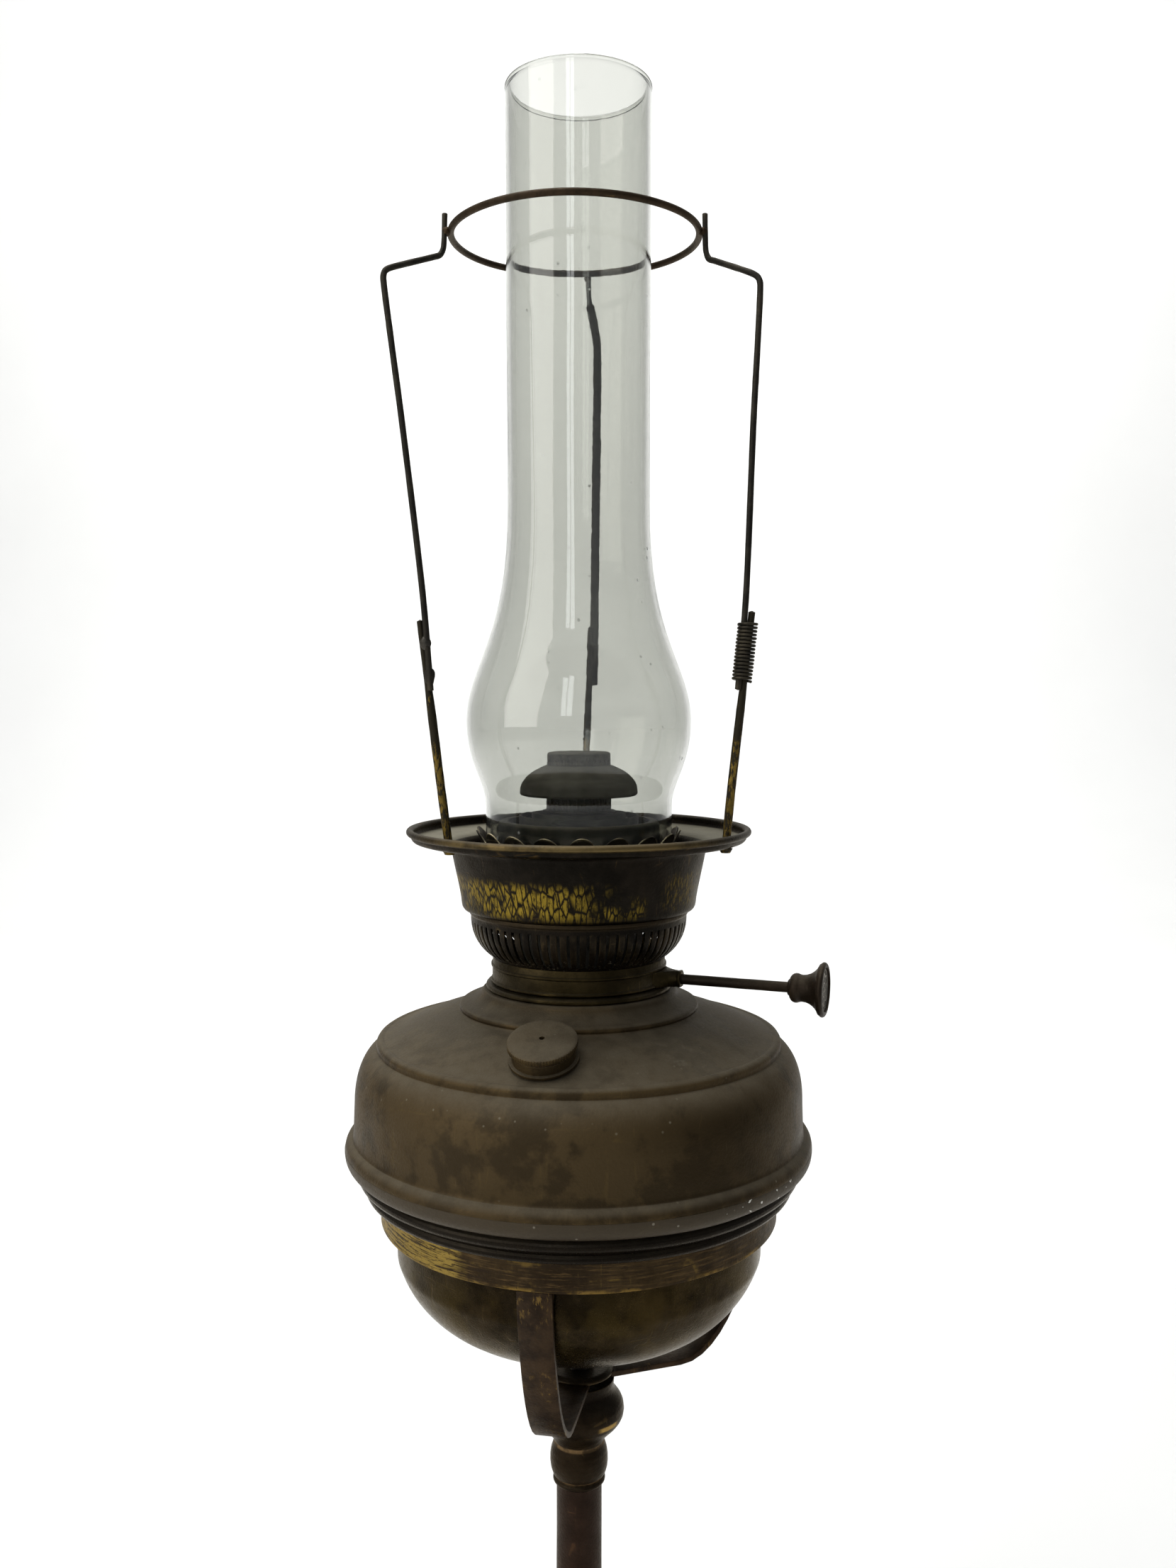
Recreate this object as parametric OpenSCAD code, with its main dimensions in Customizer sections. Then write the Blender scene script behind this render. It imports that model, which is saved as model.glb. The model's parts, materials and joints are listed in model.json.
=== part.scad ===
// Standing paraffin lamp with a round-wick burner.
// A weighted foot and a tube column carry a three-strap ring. The brass font drops
// into the ring, the burner sits on the font's collar, and a wire tripod on the
// burner's saucer gallery holds a ring for a glass shade around the chimney.
//
// The lamp's axis is Z and the floor is z = 0. Head parts are modelled from the top
// edge of the carrier ring, and head() lifts them to carrier_z.
// Azimuths are counted from -Y (the front) towards +X.

/* [Stand] */
// Height of the carrier ring's top edge above the floor
carrier_z = 326; // [320:1:340]
// Radius of the round foot
foot_r = 98; // [96:0.5:100]
// Height of the foot up to the column
foot_h = 52; // [50:0.5:54]
// Outer radius of the column tube
column_r = 8.4; // [8.2:0.1:8.6]
// Outer radius of the carrier ring
carrier_r = 71.7; // [71.5:0.1:72]
// Height of the carrier ring
carrier_h = 10.7; // [10:0.1:11]
// Width of each strap arm
strap_w = 11.5; // [10:0.5:12]

/* [Font] */
// Radius of the font's widest bead
font_r = 84; // [83.6:0.1:84.4]
// Radius of the bowl that drops through the carrier ring
bowl_r = 66; // [65:0.1:66.4]
// Azimuth of the filler cap
filler_az = -11; // [-20:1:0]
// Radius of the filler cap
filler_r = 11.45; // [11.2:0.05:11.6]

/* [Burner] */
// Azimuth of the wick spindle
spindle_az = 70; // [65:1:75]
// Radius of the wick spindle
spindle_r = 1.8; // [1.7:0.05:1.85]
// Distance from the lamp's axis to the knob's face
knob_reach = 90; // [88:0.5:92]
// Number of air slits in the basket
slit_count = 72; // [60:6:84]
// Number of spring petals that hold the chimney
petal_count = 18; // [16:1:20]
// Teeth on the wick pinion
pinion_teeth = 10; // [10:1:10]
// Module of the wick pinion and rack
gear_module = 0.8; // [0.8:0.1:0.8]

/* [Chimney and shade ring] */
// Height of the chimney's top rim above the carrier ring
chimney_top = 386.7; // [380:0.1:400]
// Radius of the chimney's fitting end
chimney_base_r = 33.35; // [33:0.05:33.5]
// Thickness of the chimney glass
glass_t = 1.6; // [1.2:0.1:1.8]
// Height of the shade ring above the carrier ring
shade_ring_z = 336; // [330:1:340]
// Radius of the shade ring's wire centre line
shade_ring_r = 43.2; // [42.8:0.1:44]

/* [Hidden] */

$fn = 96;
gap = 0.3;                // clearance between bodies that lift apart
sheet_t = 0.9;            // thickness of the spun brass sheet
burner_t = 0.7;           // thickness of the burner's sheet
wire_r = 1.05;            // shade tripod wire
rear_r = 1.4;             // the rear leg is stouter
stub_r = 1.45;            // stiff lower leg
saucer_r = 61.5;          // outer radius of the saucer's rolled rim
roll_r = 1.25;            // radius of that roll
saucer_rim_z = 128.4;     // centre of the roll
floor_z = 124.3;          // underside of the saucer's floor at floor_start
floor_start = 50;
floor_slope = 0.075;      // rise of that floor towards the rim
filler_neck_r = 10.4;
cap_sleeve_r = 8.7;
deck_hole_r = 23.4;       // lets the deck pass the flame spreader
shade_ring_x = -1.2;      // the hand-bent legs hold the ring a little to one side
deck_z = 112;             // underside of the deck that carries the chimney
chimney_z = deck_z + 1.1 + gap / 3;
draught_r = 16.9;         // inner air tube
outer_tube_r = 21.4;      // outer wick tube
wick_in_r = 17.3;
wick_out_r = 20;
wick_top_z = 131.8;
spindle_z = 76.9;
pitch_r = gear_module * pinion_teeth / 2;
pinion_in = 22.5;         // pinion and rack lie between these distances from the axis
pinion_out = 24.9;
rack_back = 7.4;          // back of the rack from the spindle's axis
petal_pitch = 360 / petal_count;

// ---------- helpers ----------

module head() {
    translate([0, 0, carrier_z]) children();
}

// Turns +X to the given azimuth
module at_azimuth(az) {
    rotate([0, 0, az - 90]) children();
}

// Point on a cubic curve
function cubic(a, b, c, d, t) =
    pow(1 - t, 3) * a + 3 * t * pow(1 - t, 2) * b + 3 * t * t * (1 - t) * c + pow(t, 3) * d;

// Points along a cubic curve, without its first point
function curve(a, b, c, d, n = 8) = [for (i = [1 : n]) cubic(a, b, c, d, i / n)];

// Points along an arc, from angle a0 to a1
function arc(x, y, r, a0, a1, n = 6) =
    [for (i = [0 : n]) [x + r * cos(a0 + (a1 - a0) * i / n), y + r * sin(a0 + (a1 - a0) * i / n)]];

function unit(v) = v / norm(v);

// Left-hand normal of the path at point i, lengthened at corners
function side(p, i) =
    let (a = i > 0 ? unit(p[i] - p[i - 1]) : unit(p[1] - p[0]),
         b = i < len(p) - 1 ? unit(p[i + 1] - p[i]) : a,
         n = unit([-a[1] - b[1], a[0] + b[0]]))
    n / max(0.5, n * [-a[1], a[0]]);

// Closed outline of a sheet that lies to the left of the path
function sheet(p, t) =
    concat(p, [for (i = [len(p) - 1 : -1 : 0]) p[i] + t * side(p, i)]);

// A spun shell whose outside follows the path
module spun(path, t) {
    rotate_extrude() polygon([for (q = sheet(path, t)) [max(0, q[0]), q[1]]]);
}

module ring_wire(r, wire, z) {
    translate([0, 0, z]) rotate_extrude() translate([r, 0]) circle(wire, $fn = 32);
}

module tube(r_out, r_in, z0, z1) {
    rotate_extrude() polygon([[r_in, z0], [r_out, z0], [r_out, z1], [r_in, z1]]);
}

// Round rod between two points
module rod(a, b, r) {
    d = b - a;
    translate(a)
        rotate([0, acos(d[2] / norm(d)), atan2(d[1], d[0])])
            cylinder(h = norm(d), r = r, $fn = 32);
}

// Points of a smooth curve through the given ones
function smooth(p, n = 4) =
    concat([for (i = [0 : len(p) - 2], j = [0 : n - 1])
                let (m0 = i > 0 ? (p[i + 1] - p[i - 1]) / 6 : (p[1] - p[0]) / 3,
                     m1 = i < len(p) - 2 ? (p[i + 2] - p[i]) / 6 : (p[i + 1] - p[i]) / 3,
                     limit = norm(p[i + 1] - p[i]) / 3)
                cubic(p[i], p[i] + m0 * min(1, limit / norm(m0)),
                      p[i + 1] - m1 * min(1, limit / norm(m1)), p[i + 1], j / n)],
           [p[len(p) - 1]]);

// Direction of a path at point i
function heading(p, i) = unit(p[min(i + 1, len(p) - 1)] - p[max(i - 1, 0)]);

// Bent round wire along a smooth curve through the points
module wire(points, r) {
    sides = 10;
    p = smooth(points);
    last = len(p) - 1;
    polyhedron(
        points = [for (i = [0 : last])
                      let (t = heading(p, i), u = unit(cross(t, [0.35, -1, 0.1])), v = cross(t, u))
                      for (k = [0 : sides - 1])
                          p[i] + r * (cos(k * 360 / sides) * u + sin(k * 360 / sides) * v)],
        faces = concat([[for (k = [sides - 1 : -1 : 0]) k]],
                       [for (i = [0 : last - 1], k = [0 : sides - 1])
                            [i * sides + k, i * sides + (k + 1) % sides,
                             (i + 1) * sides + (k + 1) % sides, (i + 1) * sides + k]],
                       [[for (k = [0 : sides - 1]) last * sides + k]]));
}

// ---------- stand ----------

module base_pad() {
    color([0.16, 0.2, 0.14]) tube(foot_r - 6, 16, 0, 2);
}

module base_weight() {
    color([0.2, 0.2, 0.2])
        rotate_extrude()
            polygon([[3.2, 10], [14, 10], [14, 2], [foot_r - 6.5, 2], [foot_r - 6.5, 11],
                     [foot_r - 17, 13], [foot_r - 36, 24], [34, 31], [24, 38], [3.2, 38]]);
}

module foot_shell() {
    color([0.3, 0.25, 0.14])
        union() {
            spun(concat([[foot_r - 2.2, 2.6], [foot_r - 2.2, 5]],
                        curve([foot_r - 2.2, 5], [foot_r - 2, 10], [foot_r - 5, 13], [foot_r - 11, 14], 6),
                        [[foot_r - 13, 14.3], [foot_r - 13.4, 17]],
                        curve([foot_r - 13.4, 17], [foot_r - 20, 25], [foot_r - 36, 24.5],
                              [foot_r - 46, 29], 8),
                        [[foot_r - 46.6, 31.4]],
                        curve([foot_r - 46.6, 31.4], [40, 33], [22, 36], [18, foot_h - 4], 10),
                        [[13, foot_h - 2]]),
                 sheet_t);
            ring_wire(foot_r - 2, 2, 4);
        }
}

module tie_rod() {
    color([0.35, 0.34, 0.32])
        translate([0, 0, 3]) cylinder(h = carrier_z - 66.5 - 3, r = 2.9);
}

module tie_nuts() {
    color([0.35, 0.34, 0.32]) {
        difference() {
            union() {
                translate([0, 0, 8.8]) cylinder(h = 1.2, r = 9);
                translate([0, 0, 4.2]) cylinder(h = 4.6, r = 6.2, $fn = 6);
            }
            translate([0, 0, 4]) cylinder(h = 7, r = 2.95);
        }
        head() difference() {
            translate([0, 0, -70]) cylinder(h = 4.4, r = 5.6, $fn = 6);
            translate([0, 0, -71]) cylinder(h = 7, r = 2.95);
        }
    }
}

module foot_collar() {
    color([0.32, 0.25, 0.12])
        rotate_extrude()
            polygon(concat([[column_r + 0.1, foot_h - 1], [16.4, foot_h - 1]],
                           arc(16.4, foot_h + 1.6, 2.6, -90, 90),
                           [[13, foot_h + 4.4]],
                           curve([13, foot_h + 4.4], [10.6, foot_h + 7], [10.4, foot_h + 10],
                                 [10.6, foot_h + 12], 5),
                           arc(10.6, foot_h + 13.4, 1.4, -90, 90, 5),
                           [[9.6, foot_h + 15.4], [column_r + 0.1, foot_h + 15.4]]));
}

module column_tube() {
    color([0.22, 0.13, 0.08]) tube(column_r, column_r - 1.2, foot_h - 10, carrier_z - 105);
}

module column_ferrule() {
    color([0.3, 0.22, 0.1])
        head() rotate_extrude()
            polygon(concat([[column_r + 0.05, -114.2]],
                           arc(column_r + 0.2, -113.1, 1.1, -60, 80, 4),
                           [[column_r + 0.05, -111.7]]));
}

module vase_knop() {
    color([0.24, 0.2, 0.1])
        head() difference() {
            rotate_extrude()
                polygon(concat([[0, -111.5], [9.2, -111.5]],
                               curve([9.2, -111.5], [10.9, -109.5], [11.4, -103.5], [9.6, -99.5], 6),
                               [[9.2, -98.4], [9.6, -97.4]],
                               curve([9.6, -97.4], [12, -92.5], [18.2, -91], [16.4, -84], 8),
                               curve([16.4, -84], [15.6, -81], [12.8, -80], [12.8, -77.4], 5),
                               [[13, -74.4], [0, -74.4]]));
            translate([0, 0, -120]) cylinder(h = 15, r = column_r + 0.05);
            translate([0, 0, -120]) cylinder(h = 50, r = 3.1);
        }
}

module hub_cap() {
    color([0.22, 0.17, 0.1])
        head() difference() {
            rotate_extrude() polygon([[0, -72.1], [12.6, -72.1], [12.6, -71.2], [11.2, -70.1], [0, -70.1]]);
            translate([0, 0, -75]) cylinder(h = 8, r = 3.1);
        }
}

// One strap: butted under the ring with a lap inside it, then swept down to the hub
module strap(az) {
    lap_r = carrier_r - 2.3;
    color([0.2, 0.14, 0.09])
        head() at_azimuth(az) rotate([90, 0, 0]) translate([0, 0, -strap_w / 2]) union() {
            linear_extrude(strap_w)
                polygon(sheet(concat([[carrier_r, -carrier_h]],
                                     curve([carrier_r, -carrier_h], [carrier_r, -26], [60, -74.2],
                                           [38.5, -74.2], 14),
                                     [[7, -74.2]]), -2));
            linear_extrude(strap_w)
                polygon([[lap_r, -1.5], [lap_r - 1.6, -1.5], [lap_r - 1.6, -12], [lap_r - 1, -14.5],
                         [lap_r + 1, -14.5], [lap_r + 1, -carrier_h - 0.1],
                         [lap_r, -carrier_h - 0.1]]);
        }
}

module strap_front() {
    strap(-11);
}

module strap_right() {
    strap(109);
}

module strap_left() {
    strap(-131);
}

module strap_rivets() {
    color([0.32, 0.25, 0.14])
        head() for (az = [-11, 109, -131]) at_azimuth(az)
            for (y = [-2.8, 2.8]) translate([67.2, y, -5.4]) rotate([0, 90, 0])
                cylinder(h = carrier_r - 67.2 - 0.1, r = 1.3, $fn = 32);
}

module carrier_ring() {
    color([0.4, 0.33, 0.14])
        head() rotate_extrude()
            polygon([[carrier_r - 2, -carrier_h], [carrier_r, -carrier_h],
                     [carrier_r, -0.5], [carrier_r - 0.5, 0], [carrier_r - 2, 0]]);
}

// ---------- font ----------

seam_z = 16.6;            // the two font shells meet on the widest bead
font_neck_r = 27.9;       // opening under the burner collar

module font_bowl() {
    color([0.16, 0.14, 0.08])
        head() spun(concat([[0, -57]],
                           curve([0, -57], [46, -57], [62, -40], [bowl_r, -24], 14),
                           [[bowl_r, -2], [bowl_r + 1, 0.4], [74.4, 0.8]],
                           arc(75.6, 2.4, 1.6, -80, 60, 4),
                           [[77.2, 4.6]],
                           arc(77.6, 7.2, 2, -70, 70, 5),
                           [[79.4, 9.8]],
                           curve([79.4, 9.8], [82.4, 10.6], [font_r, 12.6], [font_r, seam_z - 1], 5),
                           [[font_r, seam_z - 0.02]]),
                    sheet_t);
}

module font_top() {
    color([0.29, 0.26, 0.2]) difference() {
        head() spun(concat([[font_r, seam_z + 0.02]],
                           curve([font_r, seam_z + 0.02], [font_r - 0.1, 18.6], [82.6, 20],
                                 [81.2, 20.5], 4),
                           [[80.9, 21.2], [80.6, 30], [80.4, 36]],
                           curve([80.4, 36], [79.8, 44.6], [76.8, 49.8], [72.6, 51.6], 8),
                           arc(70.8, 53, 2, -25, 115, 6),
                           curve([69.5, 54.2], [62, 58.4], [52, 62], [43.3, 64.1], 6),
                           arc(41.7, 65.5, 1.3, -40, 80, 5),
                           curve([41.93, 66.78], [38.6, 67.2], [35.6, 69], [34.8, 71.2], 5),
                           [[34.2, 71.8], [font_neck_r, 71.8]]),
                    sheet_t);
        at_filler() translate([0, 0, -4]) cylinder(h = 8, r = filler_neck_r);
    }
}

module burner_collar() {
    color([0.34, 0.28, 0.14])
        head() rotate_extrude()
            polygon([[font_neck_r - 0.8, 64], [font_neck_r, 64], [font_neck_r, 71.85],
                     [33, 71.85], [33.4, 72.4], [33.4, 73.3], [32.8, 73.9],
                     [font_neck_r - 0.8, 73.9]]);
}

// Places children on the font's dome at the filler, +Z along the dome's normal
module at_filler() {
    head() at_azimuth(filler_az) translate([57, 0, 60.2]) rotate([0, 21, 0]) children();
}

module filler_neck() {
    color([0.3, 0.26, 0.18])
        at_filler() union() {
            tube(filler_neck_r, filler_neck_r - 0.8, -1.4, 4.4);
            tube(filler_neck_r + 1.2, filler_neck_r - 0.8, 0.1, 1);
        }
}

module filler_washer() {
    color([0.2, 0.12, 0.07]) at_filler() tube(10.6, cap_sleeve_r + 0.3, 4.7, 5.3);
}

// Pressed cap with a coined edge and a vent hole
module filler_cap() {
    knurls = 72;
    color([0.3, 0.26, 0.18])
        at_filler() difference() {
            rotate_extrude()
                polygon(concat([[0, 6.4], [9.8, 6.4], [9.8, 5.4], [filler_r, 5.4], [filler_r, 7]],
                               curve([filler_r, 7], [filler_r - 0.4, 7.5], [8, 8], [0, 8.1], 6)));
            for (i = [0 : knurls - 1]) rotate([0, 0, i * 360 / knurls])
                translate([filler_r + 0.17, 0, 5]) cylinder(h = 2.1, r = 0.3, $fn = 14);
            cylinder(h = 10, r = 0.9, $fn = 32);
        }
}

// Threaded sleeve soldered under the cap, its thread left plain
module cap_sleeve() {
    color([0.34, 0.28, 0.14]) at_filler() tube(cap_sleeve_r, cap_sleeve_r - 0.7, 1.4, 6.4);
}

// ---------- burner ----------

module burner_base() {
    color([0.2, 0.17, 0.1])
        head() difference() {
            union() {
                rotate_extrude()
                    polygon(concat([[26.2, 64.4], [26.7, 64.4], [26.7, 74.2], [31, 74.2]],
                                   arc(31, 75, 0.7, -80, 80, 3),
                                   [[31.2, 76.2], [31.2, 79.6]],
                                   arc(31, 80.4, 0.7, -80, 80, 3),
                                   [[31, 83.2], [30.2, 83.2], [30.2, 74.9], [26.2, 74.9]]));
                tube(26.4, outer_tube_r, 73.6, 74.4);
            }
            at_azimuth(spindle_az) translate([25, 0, spindle_z]) rotate([0, 90, 0])
                cylinder(h = 12, r = spindle_r + 0.06, $fn = 32);
            at_azimuth(spindle_az) translate([18, -9, 70]) cube([8.1, 18, 4.6]);
        }
}

module air_basket() {
    slit = 1.1;
    color([0.12, 0.1, 0.06])
        head() difference() {
            spun(concat([[28.5, 83.3], [31, 83.3], [31.4, 83.8]],
                        curve([31.4, 83.8], [35.6, 86.6], [38.6, 91], [38.8, 97], 8),
                        [[38.8, 98.6], [39.3, 99.2], [39.3, 100.4], [36, 100.6]]),
                 burner_t);
            for (i = [0 : slit_count - 1]) rotate([0, 0, i * 360 / slit_count])
                translate([29.6, -slit / 2, 84.6]) cube([12, slit, 12.2]);
        }
}

module outer_wick_tube() {
    color([0.2, 0.19, 0.18])
        head() difference() {
            tube(outer_tube_r, outer_tube_r - 0.5, 60, 134);
            at_azimuth(spindle_az) translate([15, 2, 59]) cube([12, 6.2, 25.5]);
            at_azimuth(180) translate([15, -5.2, 84]) cube([12, 10.4, 12]);
        }
}

module draught_tube() {
    color([0.2, 0.19, 0.18])
        head() difference() {
            union() {
                tube(draught_r, draught_r - 0.6, 82, 134.8);
                tube(draught_r - 0.1, 12, 134, 134.8);
                translate([0, 0, 82]) cylinder(h = 0.7, r = draught_r - 0.1);
                at_azimuth(180) translate([draught_r - 0.5, -5, 84.2]) difference() {
                    cube([outer_tube_r - draught_r + 1.4, 10, 11.6]);
                    translate([-1, 0.5, 0.5]) cube([8, 9, 10.6]);
                }
            }
            at_azimuth(180) translate([12, -4.5, 84.7]) cube([6, 9, 10.6]);
        }
}

module spindle_boss() {
    color([0.2, 0.16, 0.1])
        head() at_azimuth(spindle_az) difference() {
            intersection() {
                translate([0, 0, spindle_z]) rotate([0, 90, 0]) rotate_extrude()
                    polygon(concat([[0, 29], [9, 29]],
                                   curve([9, 29], [6.4, 32], [3.4, 32.6], [3, 37.4], 8),
                                   arc(2.8, 38.2, 0.6, -60, 90, 3), [[0, 38.8]]));
                translate([25, -12, 74.35]) cube([20, 24, 5.5]);
            }
            translate([0, 0, 60]) cylinder(h = 40, r = 31.25);
            translate([20, 0, spindle_z]) rotate([0, 90, 0])
                cylinder(h = 30, r = spindle_r + 0.06, $fn = 32);
        }
}

// Plaited wick: a sleeve at the top, split below into two flat tails
module wick() {
    color([0.62, 0.56, 0.44])
        head() difference() {
            tube(wick_out_r, wick_in_r, -42, wick_top_z);
            at_azimuth(180) translate([8, -6.2, -44]) cube([14, 12.4, 148.4]);
            at_azimuth(0) translate([8, -8, -44]) cube([14, 16, 134]);
        }
}

module wick_carrier() {
    color([0.4, 0.34, 0.18])
        head() difference() {
            union() {
                tube(20.55, wick_out_r + 0.02, 66.5, 75.5);
                at_azimuth(spindle_az) translate([18, 5.1, 67]) cube([pinion_in - 17.9, 1.9, 7.5]);
            }
            cylinder(h = 100, r = wick_out_r + 0.02);
            at_azimuth(180) translate([15, -7, 60]) cube([12, 14, 30]);
        }
}

module wick_rack() {
    pitch = PI * gear_module;
    root = pitch_r + 1.25 * gear_module;
    tip = pitch_r - gear_module;
    color([0.4, 0.34, 0.18])
        head() at_azimuth(spindle_az) translate([pinion_in, 0, spindle_z]) rotate([90, 0, 90])
            linear_extrude(pinion_out - pinion_in)
                polygon(concat([[root, -13]],
                               [for (i = [-5 : 4], q = [[root, -0.88], [tip, -0.28],
                                                        [tip, 0.28], [root, 0.88]])
                                    q + [0, (i + 0.5) * pitch]],
                               [[root, 13], [rack_back, 13], [rack_back, -13]]));
}

module wick_spindle() {
    color([0.2, 0.17, 0.12])
        head() at_azimuth(spindle_az) translate([pinion_in - 0.4, 0, spindle_z]) rotate([0, 90, 0])
            cylinder(h = knob_reach - pinion_in - 8, r = spindle_r, $fn = 48);
}

module wick_pinion() {
    color([0.4, 0.34, 0.18])
        head() at_azimuth(spindle_az) translate([pinion_in, 0, spindle_z]) rotate([90, 0, 90])
            linear_extrude(pinion_out - pinion_in) difference() {
                union() {
                    circle(pitch_r - 1.2 * gear_module, $fn = 40);
                    for (i = [0 : pinion_teeth - 1]) rotate(i * 360 / pinion_teeth)
                        polygon([[pitch_r - 1.35 * gear_module, -0.72], [pitch_r, -0.42],
                                 [pitch_r + 0.9 * gear_module, -0.14],
                                 [pitch_r + 0.9 * gear_module, 0.14],
                                 [pitch_r, 0.42], [pitch_r - 1.35 * gear_module, 0.72]]);
                }
                circle(spindle_r, $fn = 48);
            }
}

module wick_knob() {
    color([0.2, 0.13, 0.09])
        head() at_azimuth(spindle_az) translate([knob_reach, 0, spindle_z]) rotate([0, 90, 0])
            difference() {
                rotate_extrude()
                    polygon(concat([[0, -13.4], [2.6, -13.4], [3, -12.8]],
                                   curve([3, -12.8], [4.4, -12.6], [5.3, -11.4], [5, -10], 5),
                                   [[4.7, -9.2], [4.6, -8.4]],
                                   curve([4.6, -8.4], [4.7, -5.4], [6.8, -3.4], [8.7, -2.6], 6),
                                   arc(8.4, -1.4, 0.95, -60, 80, 5),
                                   [[7.6, -0.4], [7.5, -1.2], [0, -1.2]]));
                translate([0, 0, -14]) cylinder(h = 6.4, r = spindle_r, $fn = 48);
            }
}

// Pierced rosette let into the knob's face
module knob_rosette() {
    color([0.62, 0.62, 0.58])
        head() at_azimuth(spindle_az) translate([knob_reach - 1.2, 0, spindle_z]) rotate([0, 90, 0])
            difference() {
                union() {
                    cylinder(h = 0.7, r = 7.3);
                    translate([0, 0, 0.6]) cylinder(h = 0.6, r1 = 2.2, r2 = 1.4);
                }
                for (i = [0 : 7]) rotate([0, 0, i * 45]) {
                    translate([4.6, 0, 0.3]) cylinder(h = 1, r = 1.2, $fn = 24);
                    translate([6.1, 0, 0.3]) rotate([0, 0, 22.5]) translate([0.1, 0, 0])
                        cylinder(h = 1, r = 0.45, $fn = 20);
                }
            }
}

// ---------- flame spreader ----------

module perforated(r, z0, rows, count, hole) {
    for (row = [0 : rows - 1], i = [0 : count - 1])
        rotate([0, 0, (i + 0.5 * (row % 2)) * 360 / count])
            translate([r - 2, 0, z0 + row * 2.1]) rotate([0, 90, 0])
                cylinder(h = 4, r = hole, $fn = 13);
}

module spreader_skirt() {
    color([0.18, 0.18, 0.17])
        head() difference() {
            union() {
                tube(11.6, 11.1, 128, 143);
                tube(13, 11.2, 135.1, 135.7);
            }
            perforated(11.4, 136.6, 3, 26, 0.5);
        }
}

module spreader_dome() {
    color([0.2, 0.2, 0.19])
        head() spun(concat([[9, 143.3], [18, 141.4], [20.2, 141.3]],
                           arc(20.2, 142.3, 0.95, -80, 20, 4),
                           curve([21.15, 143.2], [20.8, 146.6], [17.6, 149.8], [11.2, 151.9], 8)),
                    0.7);
}

module spreader_cap() {
    color([0.19, 0.19, 0.18])
        head() difference() {
            spun(concat([[11.35, 151.7]],
                        arc(10.35, 155.4, 1, 0, 80, 4), [[0, 156.5]]), 0.5);
            perforated(11.2, 153.4, 1, 30, 0.5);
        }
}

// ---------- gallery ----------

module gallery_saucer() {
    color([0.34, 0.3, 0.14])
        head() union() {
            spun(concat([[37, 100.95], [41.3, 101], [41.9, 102]],
                        curve([41.9, 102], [42.6, 108], [44.2, 114], [45.4, 121], 6),
                        curve([45.4, 121], [45.5, 123.6], [47, floor_z], [floor_start, floor_z], 5),
                        [[58, floor_z + 8 * floor_slope]],
                        curve([58, floor_z + 8 * floor_slope], [59.6, 125.1], [60, 126],
                              [60.1, 128], 4)),
                 burner_t);
            ring_wire(saucer_r - roll_r, roll_r, saucer_rim_z);
        }
}

module gallery_deck() {
    color([0.15, 0.13, 0.08])
        head() difference() {
            tube(42.85, deck_hole_r, deck_z, deck_z + 0.8);
            for (i = [0 : 23]) rotate([0, 0, i * 15]) {
                translate([26, 0, deck_z - 1]) cylinder(h = 3, r = 1.2, $fn = 16);
                rotate([0, 0, 7.5]) translate([38.4, 0, deck_z - 1])
                    cylinder(h = 3, r = 2.2, $fn = 16);
            }
        }
}

// One petal's outline, seen from outside
module petal_outline() {
    w = 6.05;
    tip = 129.6;
    polygon(concat([[-w, 124.9]],
                   curve([-w, 124.9], [-5, 126.3], [-3.9, 127.4], [-3.3, 128], 3),
                   curve([-3.3, 128], [-2, tip + 0.2], [2, tip + 0.2], [3.3, 128], 6),
                   curve([3.3, 128], [3.9, 127.4], [5, 126.3], [w, 124.9], 3),
                   [[w, 116], [-w, 116]]));
}

module chimney_coronet() {
    color([0.3, 0.28, 0.22])
        head() intersection() {
            spun(concat([[33.4, deck_z + 0.8], [34.5, deck_z + 0.8], [34.5, 121]],
                        curve([34.5, 121], [34.6, 125], [35.4, 127.6], [37.6, 130], 6)), 0.5);
            union() {
                translate([0, 0, deck_z]) cylinder(h = 7, r = 40);
                for (i = [0 : petal_count - 1]) at_azimuth(2 + i * petal_pitch)
                    rotate([90, 0, 90]) linear_extrude(40) petal_outline();
            }
        }
}

module flame_guide() {
    color([0.19, 0.18, 0.17])
        head() spun(concat([[28.1, deck_z + 0.8], [28.4, deck_z + 1.4], [28.8, 130.6]],
                           arc(27.4, 130.7, 1.4, 0, 90, 5), [[25.5, 132.1]]), burner_t);
}

// ---------- shade tripod ----------

// Foot of a leg on the saucer's floor
function foot(x, y) = [x, y, floor_z + (norm([x, y]) - floor_start) * floor_slope + 0.1];

left_foot = foot(-43.4, -30.4);
left_top = [-52.6, -31, 201.4];
right_foot = foot(50, -27.6);
right_top = [57.9, -30.2, 204.4];
rear_foot = foot(2, 56.4);
rear_top = [4.6, 60.4, 203];

left_wire = [[-49, -33.1, 178.4], [-51.5, -32.6, 211], [-57.9, -31, 266], [-61.4, -30, 293],
             [-63.9, -29, 313], [-63.4, -28.4, 316], [-61, -27.2, 317.6], [-49, -12, 325.6],
             [-47.2, -9.4, 327.2], [-46.2, -8, 330.4], [-45.8, -7.6, 341.2]];
right_wire = [[53.4, -30.8, 178.8], [55.8, -31.3, 210], [57.8, -30.8, 266], [59.1, -30.2, 293],
              [59.9, -29, 311], [59.2, -28.2, 314], [56.6, -26.8, 316], [46.4, -11.6, 324.4],
              [44.6, -9, 326], [43.7, -7.8, 329.4], [43.4, -7.6, 341.2]];
rear_wire = [[5.6, 62.3, 181], [6.4, 62.8, 208], [7.4, 63.4, 270], [7.8, 63.4, 300],
             [7.7, 62, 313], [7.2, 59.4, 316.5], [4.8, 48, 324], [4.3, 46, 325.6],
             [3.9, 45, 328.5], [3.6, 44.8, 337.4]];

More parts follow.
